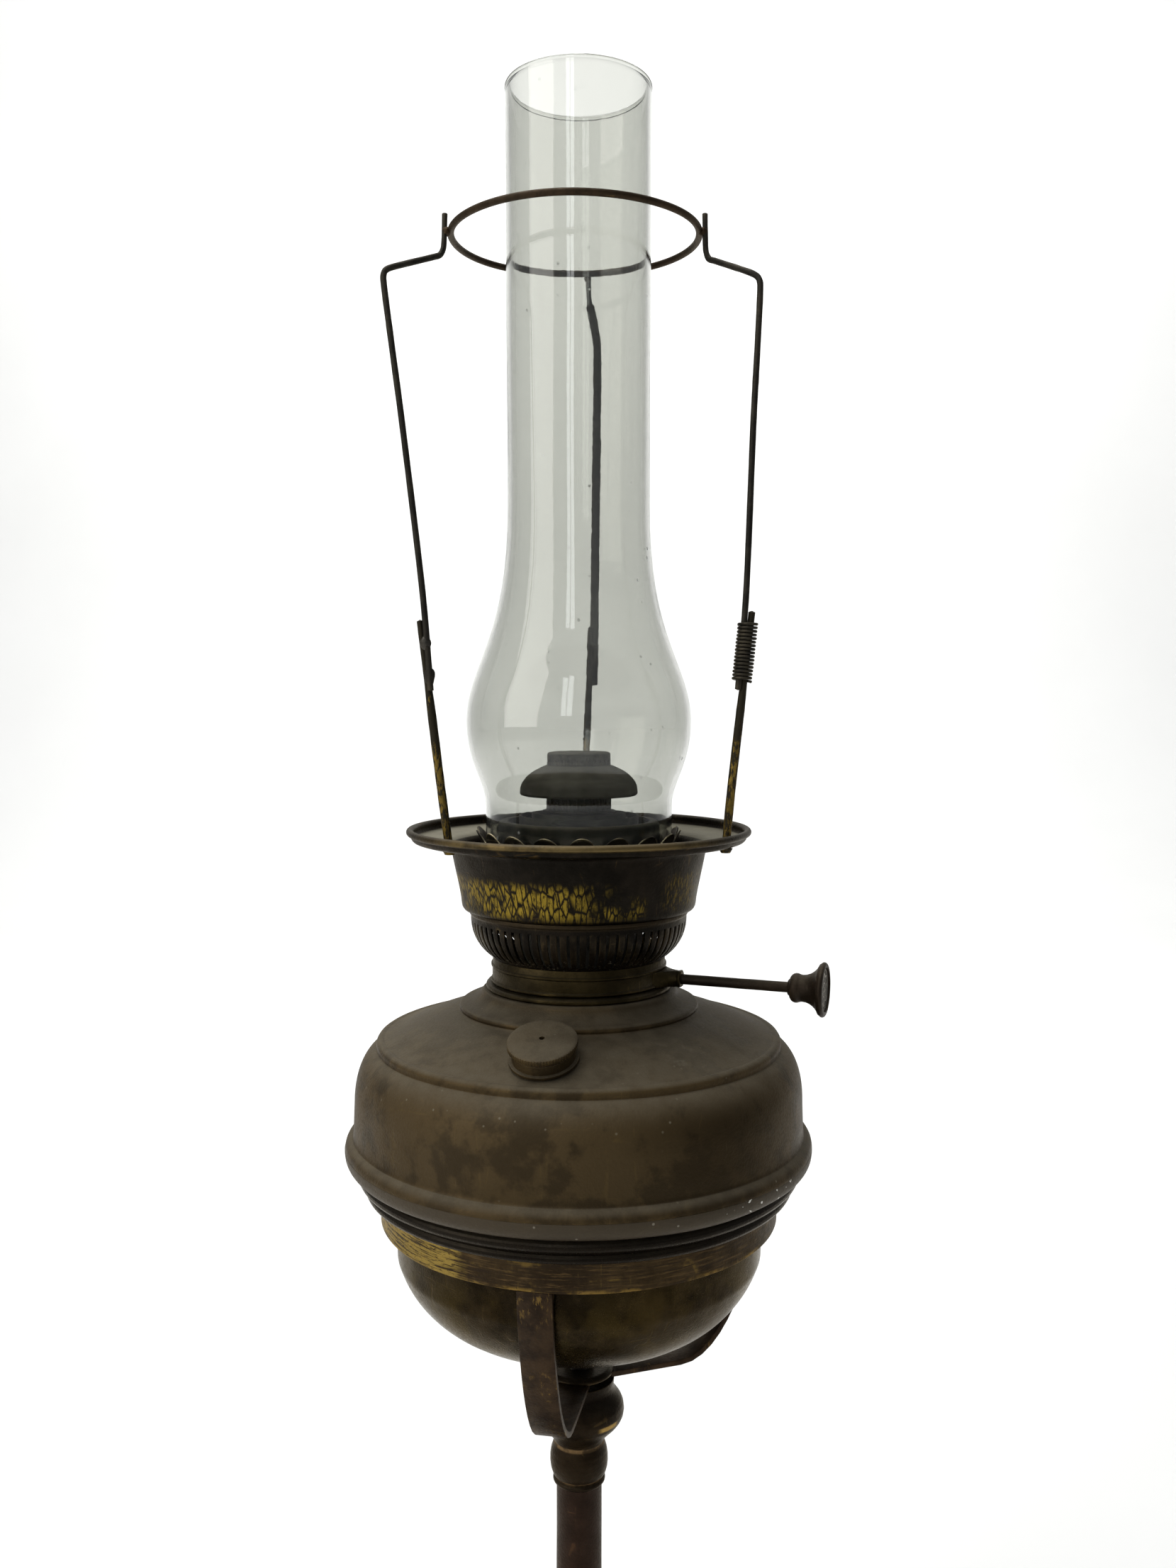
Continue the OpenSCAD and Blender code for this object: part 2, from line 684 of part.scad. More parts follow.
module leg_stubs() {
    color([0.4, 0.33, 0.16])
        head() {
            rod(left_foot, left_top, stub_r);
            rod(right_foot, right_top, stub_r);
            rod(rear_foot, rear_top, stub_r);
        }
}

// Riveted tail under the saucer and collar above it, one pair for each leg
module leg_rivets() {
    color([0.3, 0.25, 0.14])
        head() for (p = [left_foot, right_foot, rear_foot]) translate(p) {
            translate([0, 0, -1.5]) cylinder(h = 1.5, r1 = 1.6, r2 = 2.4, $fn = 32);
            translate([0, 0, 0.5]) cylinder(h = 1.3, r1 = 2.6, r2 = 1.9, $fn = 32);
        }
}

module leg_wire_left() {
    color([0.14, 0.14, 0.13]) head() wire(left_wire, wire_r);
}

module leg_wire_right() {
    color([0.14, 0.14, 0.13]) head() wire(right_wire, wire_r);
}

module leg_wire_rear() {
    color([0.14, 0.14, 0.13]) head() wire(rear_wire, rear_r);
}

// Turns of thin wire that bind the right-hand splice
module splice_binding() {
    lean = atan((right_top[0] - right_foot[0]) / (right_top[2] - right_foot[2]));
    color([0.16, 0.15, 0.13])
        head() translate([54.8, -30.1, 183]) rotate([0, lean, 0])
            for (i = [0 : 15]) ring_wire(3, 0.45, i * 1.15);
}

module shade_ring() {
    color([0.14, 0.13, 0.12])
        head() translate([shade_ring_x, 0, 0]) ring_wire(shade_ring_r, 1.2, shade_ring_z);
}

// ---------- chimney ----------

module chimney() {
    base = chimney_base_r;
    color([0.75, 0.78, 0.74, 0.35])
        head() union() {
            spun(concat([[base - 0.6, chimney_z], [base, chimney_z + 0.8], [base, 137.4]],
                        curve([base, 137.4], [base, 146], [40, 152], [40, 167.2], 10),
                        curve([40, 167.2], [40, 187.6], [25.05, 196], [25.05, 243], 16),
                        [[25.3, 300], [25.4, chimney_top - 1]]),
                 glass_t);
            ring_wire(24.7, 0.95, chimney_top - 0.95);
        }
}

base_pad();
base_weight();
foot_shell();
tie_rod();
tie_nuts();
foot_collar();
column_tube();
column_ferrule();
vase_knop();
hub_cap();
strap_front();
strap_right();
strap_left();
strap_rivets();
carrier_ring();
font_bowl();
font_top();
burner_collar();
filler_neck();
filler_washer();
filler_cap();
cap_sleeve();
burner_base();
air_basket();
outer_wick_tube();
draught_tube();
spindle_boss();
wick();
wick_carrier();
wick_rack();
wick_spindle();
wick_pinion();
wick_knob();
knob_rosette();
spreader_skirt();
spreader_dome();
spreader_cap();
gallery_saucer();
gallery_deck();
chimney_coronet();
flame_guide();
leg_stubs();
leg_wire_left();
leg_wire_right();
leg_wire_rear();
leg_rivets();
splice_binding();
shade_ring();
chimney();
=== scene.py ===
"""Looks of the standing paraffin lamp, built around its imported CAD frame.

Everything is in metres in the frame's own axes. Turned pieces are spun again from the
outline that the CAD node shows when it is cut through its axis, with rounder edges, a
finer mesh and the small dents of thin old brass. Wires, petals, wick and rosette are
built new. Heights in millimetres count from the carrier ring's top edge.
"""

import json
import math
import random

import bmesh
import bpy
from mathutils import Matrix, Vector, noise


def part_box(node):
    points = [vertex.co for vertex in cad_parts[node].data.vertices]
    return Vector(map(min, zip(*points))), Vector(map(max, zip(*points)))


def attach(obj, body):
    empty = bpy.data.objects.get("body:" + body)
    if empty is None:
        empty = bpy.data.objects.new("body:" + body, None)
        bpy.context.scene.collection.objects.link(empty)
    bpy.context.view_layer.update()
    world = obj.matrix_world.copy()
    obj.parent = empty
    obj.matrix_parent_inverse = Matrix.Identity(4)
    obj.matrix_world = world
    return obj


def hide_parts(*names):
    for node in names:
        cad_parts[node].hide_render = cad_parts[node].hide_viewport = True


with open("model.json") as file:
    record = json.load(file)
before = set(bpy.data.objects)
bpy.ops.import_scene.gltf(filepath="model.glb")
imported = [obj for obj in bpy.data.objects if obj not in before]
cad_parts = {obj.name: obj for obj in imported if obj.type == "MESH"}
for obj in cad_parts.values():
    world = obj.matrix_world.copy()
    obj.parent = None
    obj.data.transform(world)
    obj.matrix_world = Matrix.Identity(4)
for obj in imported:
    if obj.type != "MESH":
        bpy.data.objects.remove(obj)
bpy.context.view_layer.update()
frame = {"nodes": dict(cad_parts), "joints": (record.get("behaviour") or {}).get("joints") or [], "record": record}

MM = 0.001
SMALL = 1e-6  # metres: nearer to the axis than this counts as on it
WELD = 2e-6  # metres: mesh points nearer to each other than this are one
BODY_OF = {n: b for b, nodes in frame["record"]["behaviour"]["bodies"].items() for n in nodes}
JOINTS = {j["name"]: j for j in frame["joints"]}
RING_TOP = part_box("carrier_ring")[1].z
UP_Z = Matrix.Identity(4)


def head(x, y, z):
    """The place x, y, z millimetres from the axis and the carrier ring's top edge."""
    return Vector((x * MM, y * MM, RING_TOP + z * MM))


def axis_frame(origin, axis, seam):
    """Matrix from a node's own axis frame, Z along axis and X towards seam, to the lamp's."""
    z = Vector(axis).normalized()
    x = (Vector(seam) - Vector(seam).dot(z) * z).normalized()
    turn = Matrix((x, z.cross(x), z)).transposed().to_4x4()
    return Matrix.Translation(Vector(origin)) @ turn


# ---------------------------------------------------------------- camera, light, floor


def make_camera():
    """Camera 0.48 m in front of the lamp, level with the chimney's bulge, tilted slightly down."""
    place, down_tilt = (0.0033, -0.483, 0.505), 4.04
    data = bpy.data.cameras.new("camera")
    data.sensor_width = 36
    data.lens = 31.0
    data.clip_start = 0.01
    camera = bpy.data.objects.new("camera", data)
    camera.location = place
    camera.rotation_euler = (math.radians(90 - down_tilt), 0, 0)
    bpy.context.scene.collection.objects.link(camera)
    bpy.context.scene.camera = camera


def softbox(name, place, target, width, height, power, tint=(1, 1, 1)):
    """A rectangular light of that size in metres and power in watts, aimed at the target."""
    data = bpy.data.lights.new(name, "AREA")
    data.shape = "RECTANGLE"
    data.size = width
    data.size_y = height
    data.energy = power
    data.color = tint
    lamp = bpy.data.objects.new(name, data)
    lamp.location = place
    lamp.rotation_euler = (Vector(target) - Vector(place)).to_track_quat("-Z", "Y").to_euler()
    bpy.context.scene.collection.objects.link(lamp)


def make_studio():
    """Pale sweep, a broad light overhead, two strips in front like the panes of a window, a
    soft fill from the left and a light on the backdrop."""
    world = bpy.data.worlds.new("studio")
    world.use_nodes = True
    world.node_tree.nodes["Background"].inputs["Color"].default_value = (0.93, 0.95, 1, 1)
    world.node_tree.nodes["Background"].inputs["Strength"].default_value = 0.3
    bpy.context.scene.world = world
    bpy.context.scene.view_settings.view_transform = "Standard"
    softbox("overhead", (-0.45, -0.1, 2.2), (0, 0, 0.4), 1.2, 1.2, 26)
    for side in (-0.11, 0.11):
        softbox("window_pane", (-0.42 + side, -1.9, 1.3), (side, 0, 0.6), 0.18, 1.2, 2.4,
                (0.95, 0.98, 1))
    softbox("left_fill", (-1.6, -0.9, 1.1), (0, 0, 0.42), 1.4, 1.6, 17, (1, 0.98, 0.94))
    softbox("backdrop_light", (0, 1.2, 2.6), (0, 3.2, 0.8), 3.4, 0.8, 75)

    half, front, depth, rise, bend, steps = 6.0, -4.0, 3.2, 4.0, 1.0, 16
    profile = [(front, 0.0), (depth - bend, 0.0)]
    for i in range(1, steps + 1):
        a = math.pi / 2 * i / steps
        profile.append((depth - bend + bend * math.sin(a), bend - bend * math.cos(a)))
    profile.append((depth, rise))
    verts = [(x, y, z) for y, z in profile for x in (-half, half)]
    faces = [(2 * i, 2 * i + 1, 2 * i + 3, 2 * i + 2) for i in range(len(profile) - 1)]
    mesh = bpy.data.meshes.new("sweep")
    mesh.from_pydata(verts, [], faces)
    mesh.shade_smooth()
    sweep = bpy.data.objects.new("sweep", mesh)
    bpy.context.scene.collection.objects.link(sweep)
    paint = Paint("sweep_paper")
    tone = paint.noise(0.4, detail=3)
    paint.set("Base Color", paint.blend(tone, srgb(232, 232, 230), srgb(240, 240, 238)))
    paint.set("Roughness", 0.85)
    sweep.data.materials.append(paint.material)


# ---------------------------------------------------------------- materials


def srgb(r, g, b):
    """An 8-bit display colour as the linear colour that shaders use."""
    out = [c / 255 for c in (r, g, b)]
    return tuple(c / 12.92 if c <= 0.04045 else ((c + 0.055) / 1.055) ** 2.4 for c in out) + (1,)


class Paint:
    """A material's node graph, with a short call for each kind of node."""

    def __init__(self, name):
        self.material = bpy.data.materials.new(name)
        self.material.use_nodes = True
        self.tree = self.material.node_tree
        self.shader = self.tree.nodes["Principled BSDF"]
        spots = self.add("ShaderNodeTexCoord").outputs
        self.place, self.normal = spots["Object"], spots["Normal"]
        self.relief = None
        self.set("Specular IOR Level", 0.25)
        self.set("Specular Tint", (0.75, 0.7, 0.62, 1))

    def add(self, kind, inputs=None, **settings):
        made = self.tree.nodes.new(kind)
        for key, value in settings.items():
            setattr(made, key, value)
        for key, value in (inputs or {}).items():
            if isinstance(value, bpy.types.NodeSocket):
                self.tree.links.new(value, made.inputs[key])
            else:
                made.inputs[key].default_value = value
        return made

    def set(self, socket, value):
        if isinstance(value, bpy.types.NodeSocket):
            self.tree.links.new(value, self.shader.inputs[socket])
        else:
            self.shader.inputs[socket].default_value = value

    def noise(self, size, detail=4, rough=0.55, stretch=(1, 1, 1), shift=0.0):
        """Noise whose blotches are about size metres across, longer where stretch is under 1."""
        at = self.add("ShaderNodeMapping", {0: self.place, 1: (shift, shift, shift), 3: stretch})
        return self.grain(at.outputs[0], size, detail, rough)

    def polar(self, around, along, radius=50 * MM):
        """A place on the turned surface in metres, (round, up), scaled by the two numbers."""
        turn = self.times(self.azimuth(), math.radians(1) * radius * around)
        rise = self.times(self.height(), MM * along)
        return self.add("ShaderNodeCombineXYZ", {0: turn, 1: rise}).outputs[0]

    def grain(self, at, size, detail, rough):
        """Noise at a given place, such as the one that polar gives."""
        facts = {"Vector": at, "Scale": 1 / size, "Detail": detail, "Roughness": rough}
        return self.add("ShaderNodeTexNoise", facts).outputs["Fac"]

    def specks(self, size, share):
        """Small round spots: 1 inside a share of the cells, 0 elsewhere."""
        cell = self.add("ShaderNodeTexVoronoi", {"Vector": self.place, "Scale": 1 / size})
        near = self.span(cell.outputs["Distance"], 0.22, 0.1)
        pick = self.add("ShaderNodeSeparateColor", {0: cell.outputs["Color"]}).outputs[0]
        return self.times(near, self.span(pick, 1 - share, 1 - share + 0.02))

    def span(self, value, low, high, out_low=0.0, out_high=1.0):
        """Goes smoothly from out_low to out_high as value goes from low to high."""
        facts = {0: value, 1: low, 2: high, 3: out_low, 4: out_high}
        return self.add("ShaderNodeMapRange", facts, interpolation_type="SMOOTHSTEP").outputs[0]

    def calc(self, op, a, b=0.0):
        return self.add("ShaderNodeMath", {0: a, 1: b}, operation=op).outputs[0]

    def plus(self, a, b):
        return self.calc("ADD", a, b)

    def less(self, a, b):
        return self.calc("SUBTRACT", a, b)

    def times(self, a, b):
        return self.calc("MULTIPLY", a, b)

    def most(self, a, b):
        return self.calc("MAXIMUM", a, b)

    def blend(self, share, a, b):
        """Colour a, or colour b where share is 1."""
        return self.add("ShaderNodeMix", {0: share, 6: a, 7: b}, data_type="RGBA").outputs[2]

    def between(self, value, low, high, soft):
        """1 where value is between low and high, with soft edges."""
        rising = self.span(value, low - soft, low + soft)
        return self.times(rising, self.span(value, high + soft, high - soft))

    def axes(self, source):
        return self.add("ShaderNodeSeparateXYZ", {0: source}).outputs

    def height(self):
        """Millimetres above the carrier ring's top edge."""
        return self.times(self.less(self.axes(self.place)[2], RING_TOP), 1 / MM)

    def azimuth(self):
        """Degrees round the axis from the front, growing towards +X."""
        x, y, _ = self.axes(self.place)
        turn = self.calc("ARCTAN2", x, self.times(y, -1.0))
        return self.times(turn, 180 / math.pi)

    def upward(self, low, high):
        """1 where the surface faces up, by the height of its normal."""
        return self.span(self.axes(self.normal)[2], low, high)

    def edges(self):
        """1 on outward edges, where handling rubs."""
        return self.span(self.add("ShaderNodeNewGeometry").outputs["Pointiness"], 0.51, 0.57)

    def lines(self, size, stretch, thin=0.012, shift=0.0):
        """Hair-thin scratches along the directions where stretch is small."""
        level = self.calc("ABSOLUTE", self.less(self.noise(size, 1, 0.4, stretch, shift), 0.5))
        return self.span(level, thin, thin * 0.25)

    def bump(self, value, depth):
        """Adds relief of that depth in metres."""
        facts = {"Height": value, "Distance": depth, "Strength": 1.0}
        if self.relief is not None:
            facts["Normal"] = self.relief
        self.relief = self.add("ShaderNodeBump", facts).outputs[0]

    def finish(self):
        if self.relief is not None:
            self.set("Normal", self.relief)
        return self.material


def aged_metal(name, deep, base, worn, dust, metal=0.75, gloss=0.42, wear=0.35, dusty=0.6,
               pits=0.25, marks=None, mottle=0.5):
    """Old toned metal: blotched patina, worn edges, fine scratches, pits, and dust that
    settles on what faces up. marks adds the marks of one piece: it takes the paint and
    gives (mask, colour, metal share, roughness) rows."""
    p = Paint(name)
    broad, mid = p.noise(38 * MM, 5), p.noise(7 * MM, 5, shift=3.1)
    fine = p.noise(0.9 * MM, 4, shift=7.7)
    tone = p.plus(p.times(broad, 0.6), p.times(mid, 0.4))
    colour = p.blend(p.span(tone, 0.5 - 0.22 * mottle, 0.5 + 0.22 * mottle), deep, base)
    speckle = p.span(fine, 0.56, 0.7, 0.0, 0.55 * mottle)
    colour = p.blend(speckle, colour, deep)
    metal_share = p.span(mid, 0.3, 0.7, metal, metal * 0.8)
    rough = p.span(broad, 0.3, 0.7, gloss, gloss + 0.16)

    scratch = p.most(p.lines(9 * MM, (1, 1, 0.08)), p.lines(12 * MM, (0.1, 0.12, 1), shift=5.2))
    scratch = p.times(scratch, p.span(mid, 0.5, 0.66))
    rub = p.times(p.edges(), p.span(mid, 0.4, 0.62))
    rub = p.times(p.most(rub, p.times(scratch, 0.6)), wear)
    rows = [(rub, worn, 0.9, gloss * 0.8)]
    rows += marks(p) if marks else []
    settle = p.times(p.upward(0.25, 0.95), p.span(mid, 0.2, 0.75, 0.55, 1.0))
    settle = p.times(settle, dusty)
    rows.append((settle, dust, 0.0, 0.88))
    for mask, tint, its_metal, its_rough in rows:
        colour = p.blend(mask, colour, tint)
        metal_share = p.add("ShaderNodeMix", {0: mask, 2: metal_share, 3: its_metal}).outputs[0]
        rough = p.add("ShaderNodeMix", {0: mask, 2: rough, 3: its_rough}).outputs[0]
    p.set("Base Color", colour)
    p.set("Metallic", metal_share)
    p.set("Roughness", p.plus(rough, p.span(fine, 0.3, 0.7, -0.04, 0.06)))
    p.bump(mid, 0.12 * MM)
    p.bump(p.span(fine, 0.35, 0.65), 0.05 * MM * (0.4 + pits))
    p.bump(p.times(scratch, -1.0), 0.03 * MM)
    return p.finish()


def tank_marks(p):
    """Pale scuffs on the right of the dome, fine pale grit, and painted shade on the right side and low down."""
    up, turn = p.height(), p.azimuth()
    scuff = p.times(p.between(turn, 20, 44, 5), p.between(up, 56, 62, 1.5))
    scuff = p.times(scuff, p.span(p.noise(4.5 * MM, 5, 0.7), 0.54, 0.64, 0, 0.5))
    grit = p.times(p.specks(2.4 * MM, 0.09), p.upward(0.02, 0.4))
    # painted shade: the tank's side darker on its right and towards its lower edge
    right_low_shade = p.times(p.between(turn, 22, 56, 16), p.between(up, 20, 46, 8))
    right_low_shade = p.most(right_low_shade, p.span(up, 40, 20, 0, 0.25))
    return [
        (p.times(right_low_shade, 0.8), srgb(40, 31, 17), 0.8, 0.36),
        (scuff, srgb(112, 108, 95), 0.0, 0.8),
        (p.times(grit, 0.45), srgb(124, 118, 102), 0.0, 0.8),
    ]


def bead_marks(p):
    """Dust on the widest bead, chips of white paint on its right, painted shade on the steps
    below it and a painted reflection, in warm patches, low on the bowl."""
    up, turn = p.height(), p.azimuth()
    bead = p.between(up, 10.5, 18, 1.2)
    chips = p.times(p.span(p.noise(2.4 * MM, 2, 0.6, shift=1.9), 0.655, 0.675),
                   p.between(turn, 34, 60, 3))
    chips = p.times(chips, p.between(up, 11.5, 17.5, 0.6))
    grit = p.times(p.specks(2.6 * MM, 0.1), bead)
    # painted reflection: glossy olive patches, stronger towards the bowl's bottom
    reflection_patches = p.times(p.span(p.noise(18 * MM, 4, shift=4), 0.44, 0.64), p.span(up, -4, -26))
    return [
        (p.times(reflection_patches, 0.35), srgb(70, 57, 26), 0.9, 0.24),
        # painted shade: a dark band on the steps under the bead, where the font sinks into the ring
        (p.times(p.between(up, -1, 10, 0.8), 0.85), srgb(18, 14, 10), 0.6, 0.3),
        (p.times(bead, 0.75), srgb(70, 62, 50), 0.25, 0.55),
        (p.times(grit, 0.6), srgb(140, 134, 120), 0.0, 0.8),
        (chips, srgb(214, 212, 202), 0.0, 0.6),
    ]


def ring_marks(p):
    """Long level streaks, a pitted patch rubbed to bare brass on the left of the front, and
    bright wear along the lower edge."""
    streaks = p.grain(p.polar(0.12, 1.5), 1.1 * MM, 5, 0.7)
    pits = p.span(p.grain(p.polar(0.5, 1.2), 0.9 * MM, 4, 0.7), 0.56, 0.62)
    turn = p.azimuth()
    area = p.plus(p.between(turn, -88, -30, 12), p.span(p.noise(14 * MM, 3), 0.3, 0.7, -0.35, 0.1))
    patch = p.times(p.span(area, 0.3, 0.7), p.span(streaks, 0.42, 0.52))
    patch = p.times(patch, p.less(1.0, pits))
    light = p.times(p.span(streaks, 0.53, 0.64), 0.8)
    dark = p.times(p.span(streaks, 0.47, 0.38), 0.8)
    foot = p.times(p.span(p.height(), -9.0, -10.4), p.span(pits, 0.6, 0.2, 0, 0.6))
    foot = p.times(foot, p.span(p.noise(8 * MM, 4, shift=9), 0.42, 0.58))
    return [
        (dark, srgb(36, 26, 17), 0.5, 0.5),
        (light, srgb(88, 70, 44), 0.8, 0.42),
        (foot, srgb(140, 112, 56), 0.9, 0.36),
        (patch, srgb(140, 118, 60), 0.95, 0.4),
    ]


def cup_marks(p):
    """Dark lacquer that crazed away in upright flakes over brass, left to the middle and a
    little on the right, a painted highlight along the front of the rim and dust on the floor inside."""
    up, turn = p.height(), p.azimuth()
    flakes = p.grain(p.polar(1.0, 0.3), 0.9 * MM, 6, 0.75)
    cracks = p.add("ShaderNodeTexVoronoi", {"Vector": p.polar(1.0, 0.4), "Scale": 1 / (2.1 * MM)},
                   feature="DISTANCE_TO_EDGE").outputs["Distance"]
    cracks = p.span(cracks, 0.02, 0.17)
    broad = p.noise(13 * MM, 4, shift=2.2)
    area = p.times(p.between(turn, -84, 6, 16), p.between(up, 102.6, 113.5, 2.2))
    area = p.plus(area, p.times(p.between(turn, 10, 30, 4), p.between(up, 103, 109, 2)))
    area = p.times(area, p.span(broad, 0.36, 0.52))
    bare = p.times(area, p.span(flakes, 0.38, 0.52))
    bare = p.times(bare, cracks)
    right = p.times(p.between(turn, 44, 76, 6), p.between(up, 104, 116, 2))
    right = p.times(right, p.times(p.span(flakes, 0.46, 0.58), cracks))
    # painted highlight: brighter brass along the front of the rim, broken up by noise
    rim = p.times(p.span(up, 126.9, 127.9), p.between(turn, -50, 40, 22))
    rim = p.times(rim, p.span(p.noise(9 * MM, 4, 0.6, shift=8), 0.3, 0.6, 0.25, 0.85))
    floor_dust = p.times(p.upward(0.5, 0.9), p.between(up, 123, 127.5, 0.8))
    return [
        (bare, srgb(138, 116, 42), 0.9, 0.4),
        (right, srgb(96, 80, 32), 0.95, 0.4),
        (rim, srgb(106, 90, 58), 0.9, 0.4),
        (p.times(floor_dust, 0.9), srgb(140, 136, 118), 0.0, 0.9),
    ]


def stub_marks(p):
    """What is left of black lacquer, in upright flakes over brass."""
    flakes = p.noise(1.5 * MM, 6, 0.75, (1, 1, 0.3))
    upper = p.span(p.height(), 150, 185, 0, 0.2)
    black = p.span(p.plus(flakes, upper), 0.46, 0.54)
    return [(black, srgb(36, 32, 22), 0.4, 0.55)]


def knop_marks(p):
    """A bright scratch on the upper bulb's shoulder and pale dirt in the creases."""
    up, turn = p.height(), p.azimuth()
    scratch = p.times(p.between(turn, 28, 56, 5), p.between(up, -88.6, -86.9, 0.4))
    crease = p.most(p.between(up, -99.2, -97.9, 0.35), p.between(up, -112, -111, 0.4))
    crease = p.times(crease, p.span(p.noise(5 * MM, 3), 0.4, 0.6, 0.2, 0.9))
    return [(scratch, srgb(150, 122, 68), 0.9, 0.3), (crease, srgb(116, 92, 60), 0.2, 0.7)]


def basket_marks(p):
    """A painted highlight on the lip above the slits, and pale grit at their lower ends."""
    up = p.height()
    # painted highlight: a lighter band on the lip above the slits
    lip_highlight = p.times(p.span(up, 97.8, 99.2), 0.4)
    grit = p.times(p.span(p.noise(0.8 * MM, 3, 0.7), 0.6, 0.68), p.span(up, 90, 84.5))
    return [(lip_highlight, srgb(66, 54, 36), 0.7, 0.4), (p.times(grit, 0.6), srgb(140, 132, 112), 0, 0.8)]


def strap_marks(p):
    """Bare brass in upright flecks, mostly at the top."""
    streaks = p.noise(1.6 * MM, 5, 0.75, (1, 1, 0.3))
    patch = p.span(p.noise(16 * MM, 3, shift=5), 0.5, 0.62)
    top = p.span(p.height(), -26, -14, 0, 0.9)
    bare = p.times(p.span(streaks, 0.54, 0.62), p.most(top, p.times(patch, 0.7)))
    return [(p.times(bare, 0.8), srgb(118, 94, 50), 0.85, 0.4)]


def glass_paint():
    """Old soda glass: faintly green-grey, dusty in upright bands, with specks and smears."""
    p = Paint("chimney_glass")
    p.set("Specular Tint", (1, 1, 1, 1))
    p.set("Specular IOR Level", 0.5)
    p.set("Base Color", (0.68, 0.688, 0.655, 1))
    p.set("IOR", 1.46)
    film = p.noise(26 * MM, 4, 0.6, (1, 1, 0.16))
    dirt = p.times(p.specks(4 * MM, 0.07), p.span(p.noise(60 * MM), 0.42, 0.6))
    smear = p.span(p.noise(9 * MM, 6, 0.7, shift=6), 0.64, 0.76, 0, 0.1)
    veil = p.plus(p.span(film, 0.35, 0.7, 0.0, 0.03), smear)
    veil = p.plus(veil, p.times(dirt, 0.4))
    p.set("Transmission Weight", p.less(1.0, veil))
    p.set("Roughness", p.span(veil, 0.03, 0.5, 0.02, 0.5))
    p.bump(p.noise(30 * MM, 2, 0.4, (1, 1, 0.3)), 0.25 * MM)
    p.bump(p.noise(3 * MM, 3, 0.5, shift=2), 0.012 * MM)
    return p.finish()


def wick_paint():
    """Plaited cotton, oil-stained below and charred at the top."""
    p = Paint("wick_cotton")
    weave = p.noise(0.5 * MM, 2)
    char = p.span(p.height(), 127.5, 130.8)
    colour = p.blend(p.span(weave, 0.35, 0.65), srgb(128, 108, 76), srgb(188, 170, 132))
    colour = p.blend(p.times(p.noise(14 * MM), 0.5), colour, srgb(96, 78, 48))
    p.set("Base Color", p.blend(char, colour, srgb(20, 18, 17)))
    p.set("Roughness", 0.95)
    p.set("Sheen Weight", 0.3)
    p.bump(weave, 0.1 * MM)
    return p.finish()


def felt_paint():
    """Green felt with a short nap."""
    p = Paint("felt")
    nap = p.noise(0.7 * MM, 6, 0.8)
    p.set("Base Color", p.blend(p.span(nap, 0.3, 0.7), srgb(38, 58, 36), srgb(72, 96, 62)))
    p.set("Roughness", 0.98)
    p.set("Sheen Weight", 0.5)
    p.bump(nap, 0.25 * MM)
    return p.finish()


def leather_paint():
    """Brown leather with a fine cell pattern."""
    p = Paint("washer_leather")
    cells = p.add("ShaderNodeTexVoronoi", {"Vector": p.place, "Scale": 1 / (0.6 * MM)}).outputs[0]
    p.set("Base Color", p.blend(p.noise(4 * MM), srgb(52, 32, 18), srgb(92, 58, 34)))
    p.set("Roughness", p.span(cells, 0.0, 0.6, 0.5, 0.75))
    p.bump(cells, 0.04 * MM)
    return p.finish()


def iron_paint():
    """Sand-cast iron with a thin coat of black and rust in the pits."""
    p = Paint("cast_iron")
    sand, broad = p.noise(1.1 * MM, 5, 0.7), p.noise(20 * MM, 5)
    colour = p.blend(p.span(broad, 0.4, 0.65), srgb(44, 43, 42), srgb(64, 60, 56))
    colour = p.blend(p.span(sand, 0.58, 0.7, 0, 0.7), colour, srgb(104, 62, 36))
    p.set("Base Color", colour)
    p.set("Metallic", 0.35)
    p.set("Roughness", p.span(sand, 0.3, 0.7, 0.62, 0.85))
    p.bump(sand, 0.3 * MM)
    return p.finish()


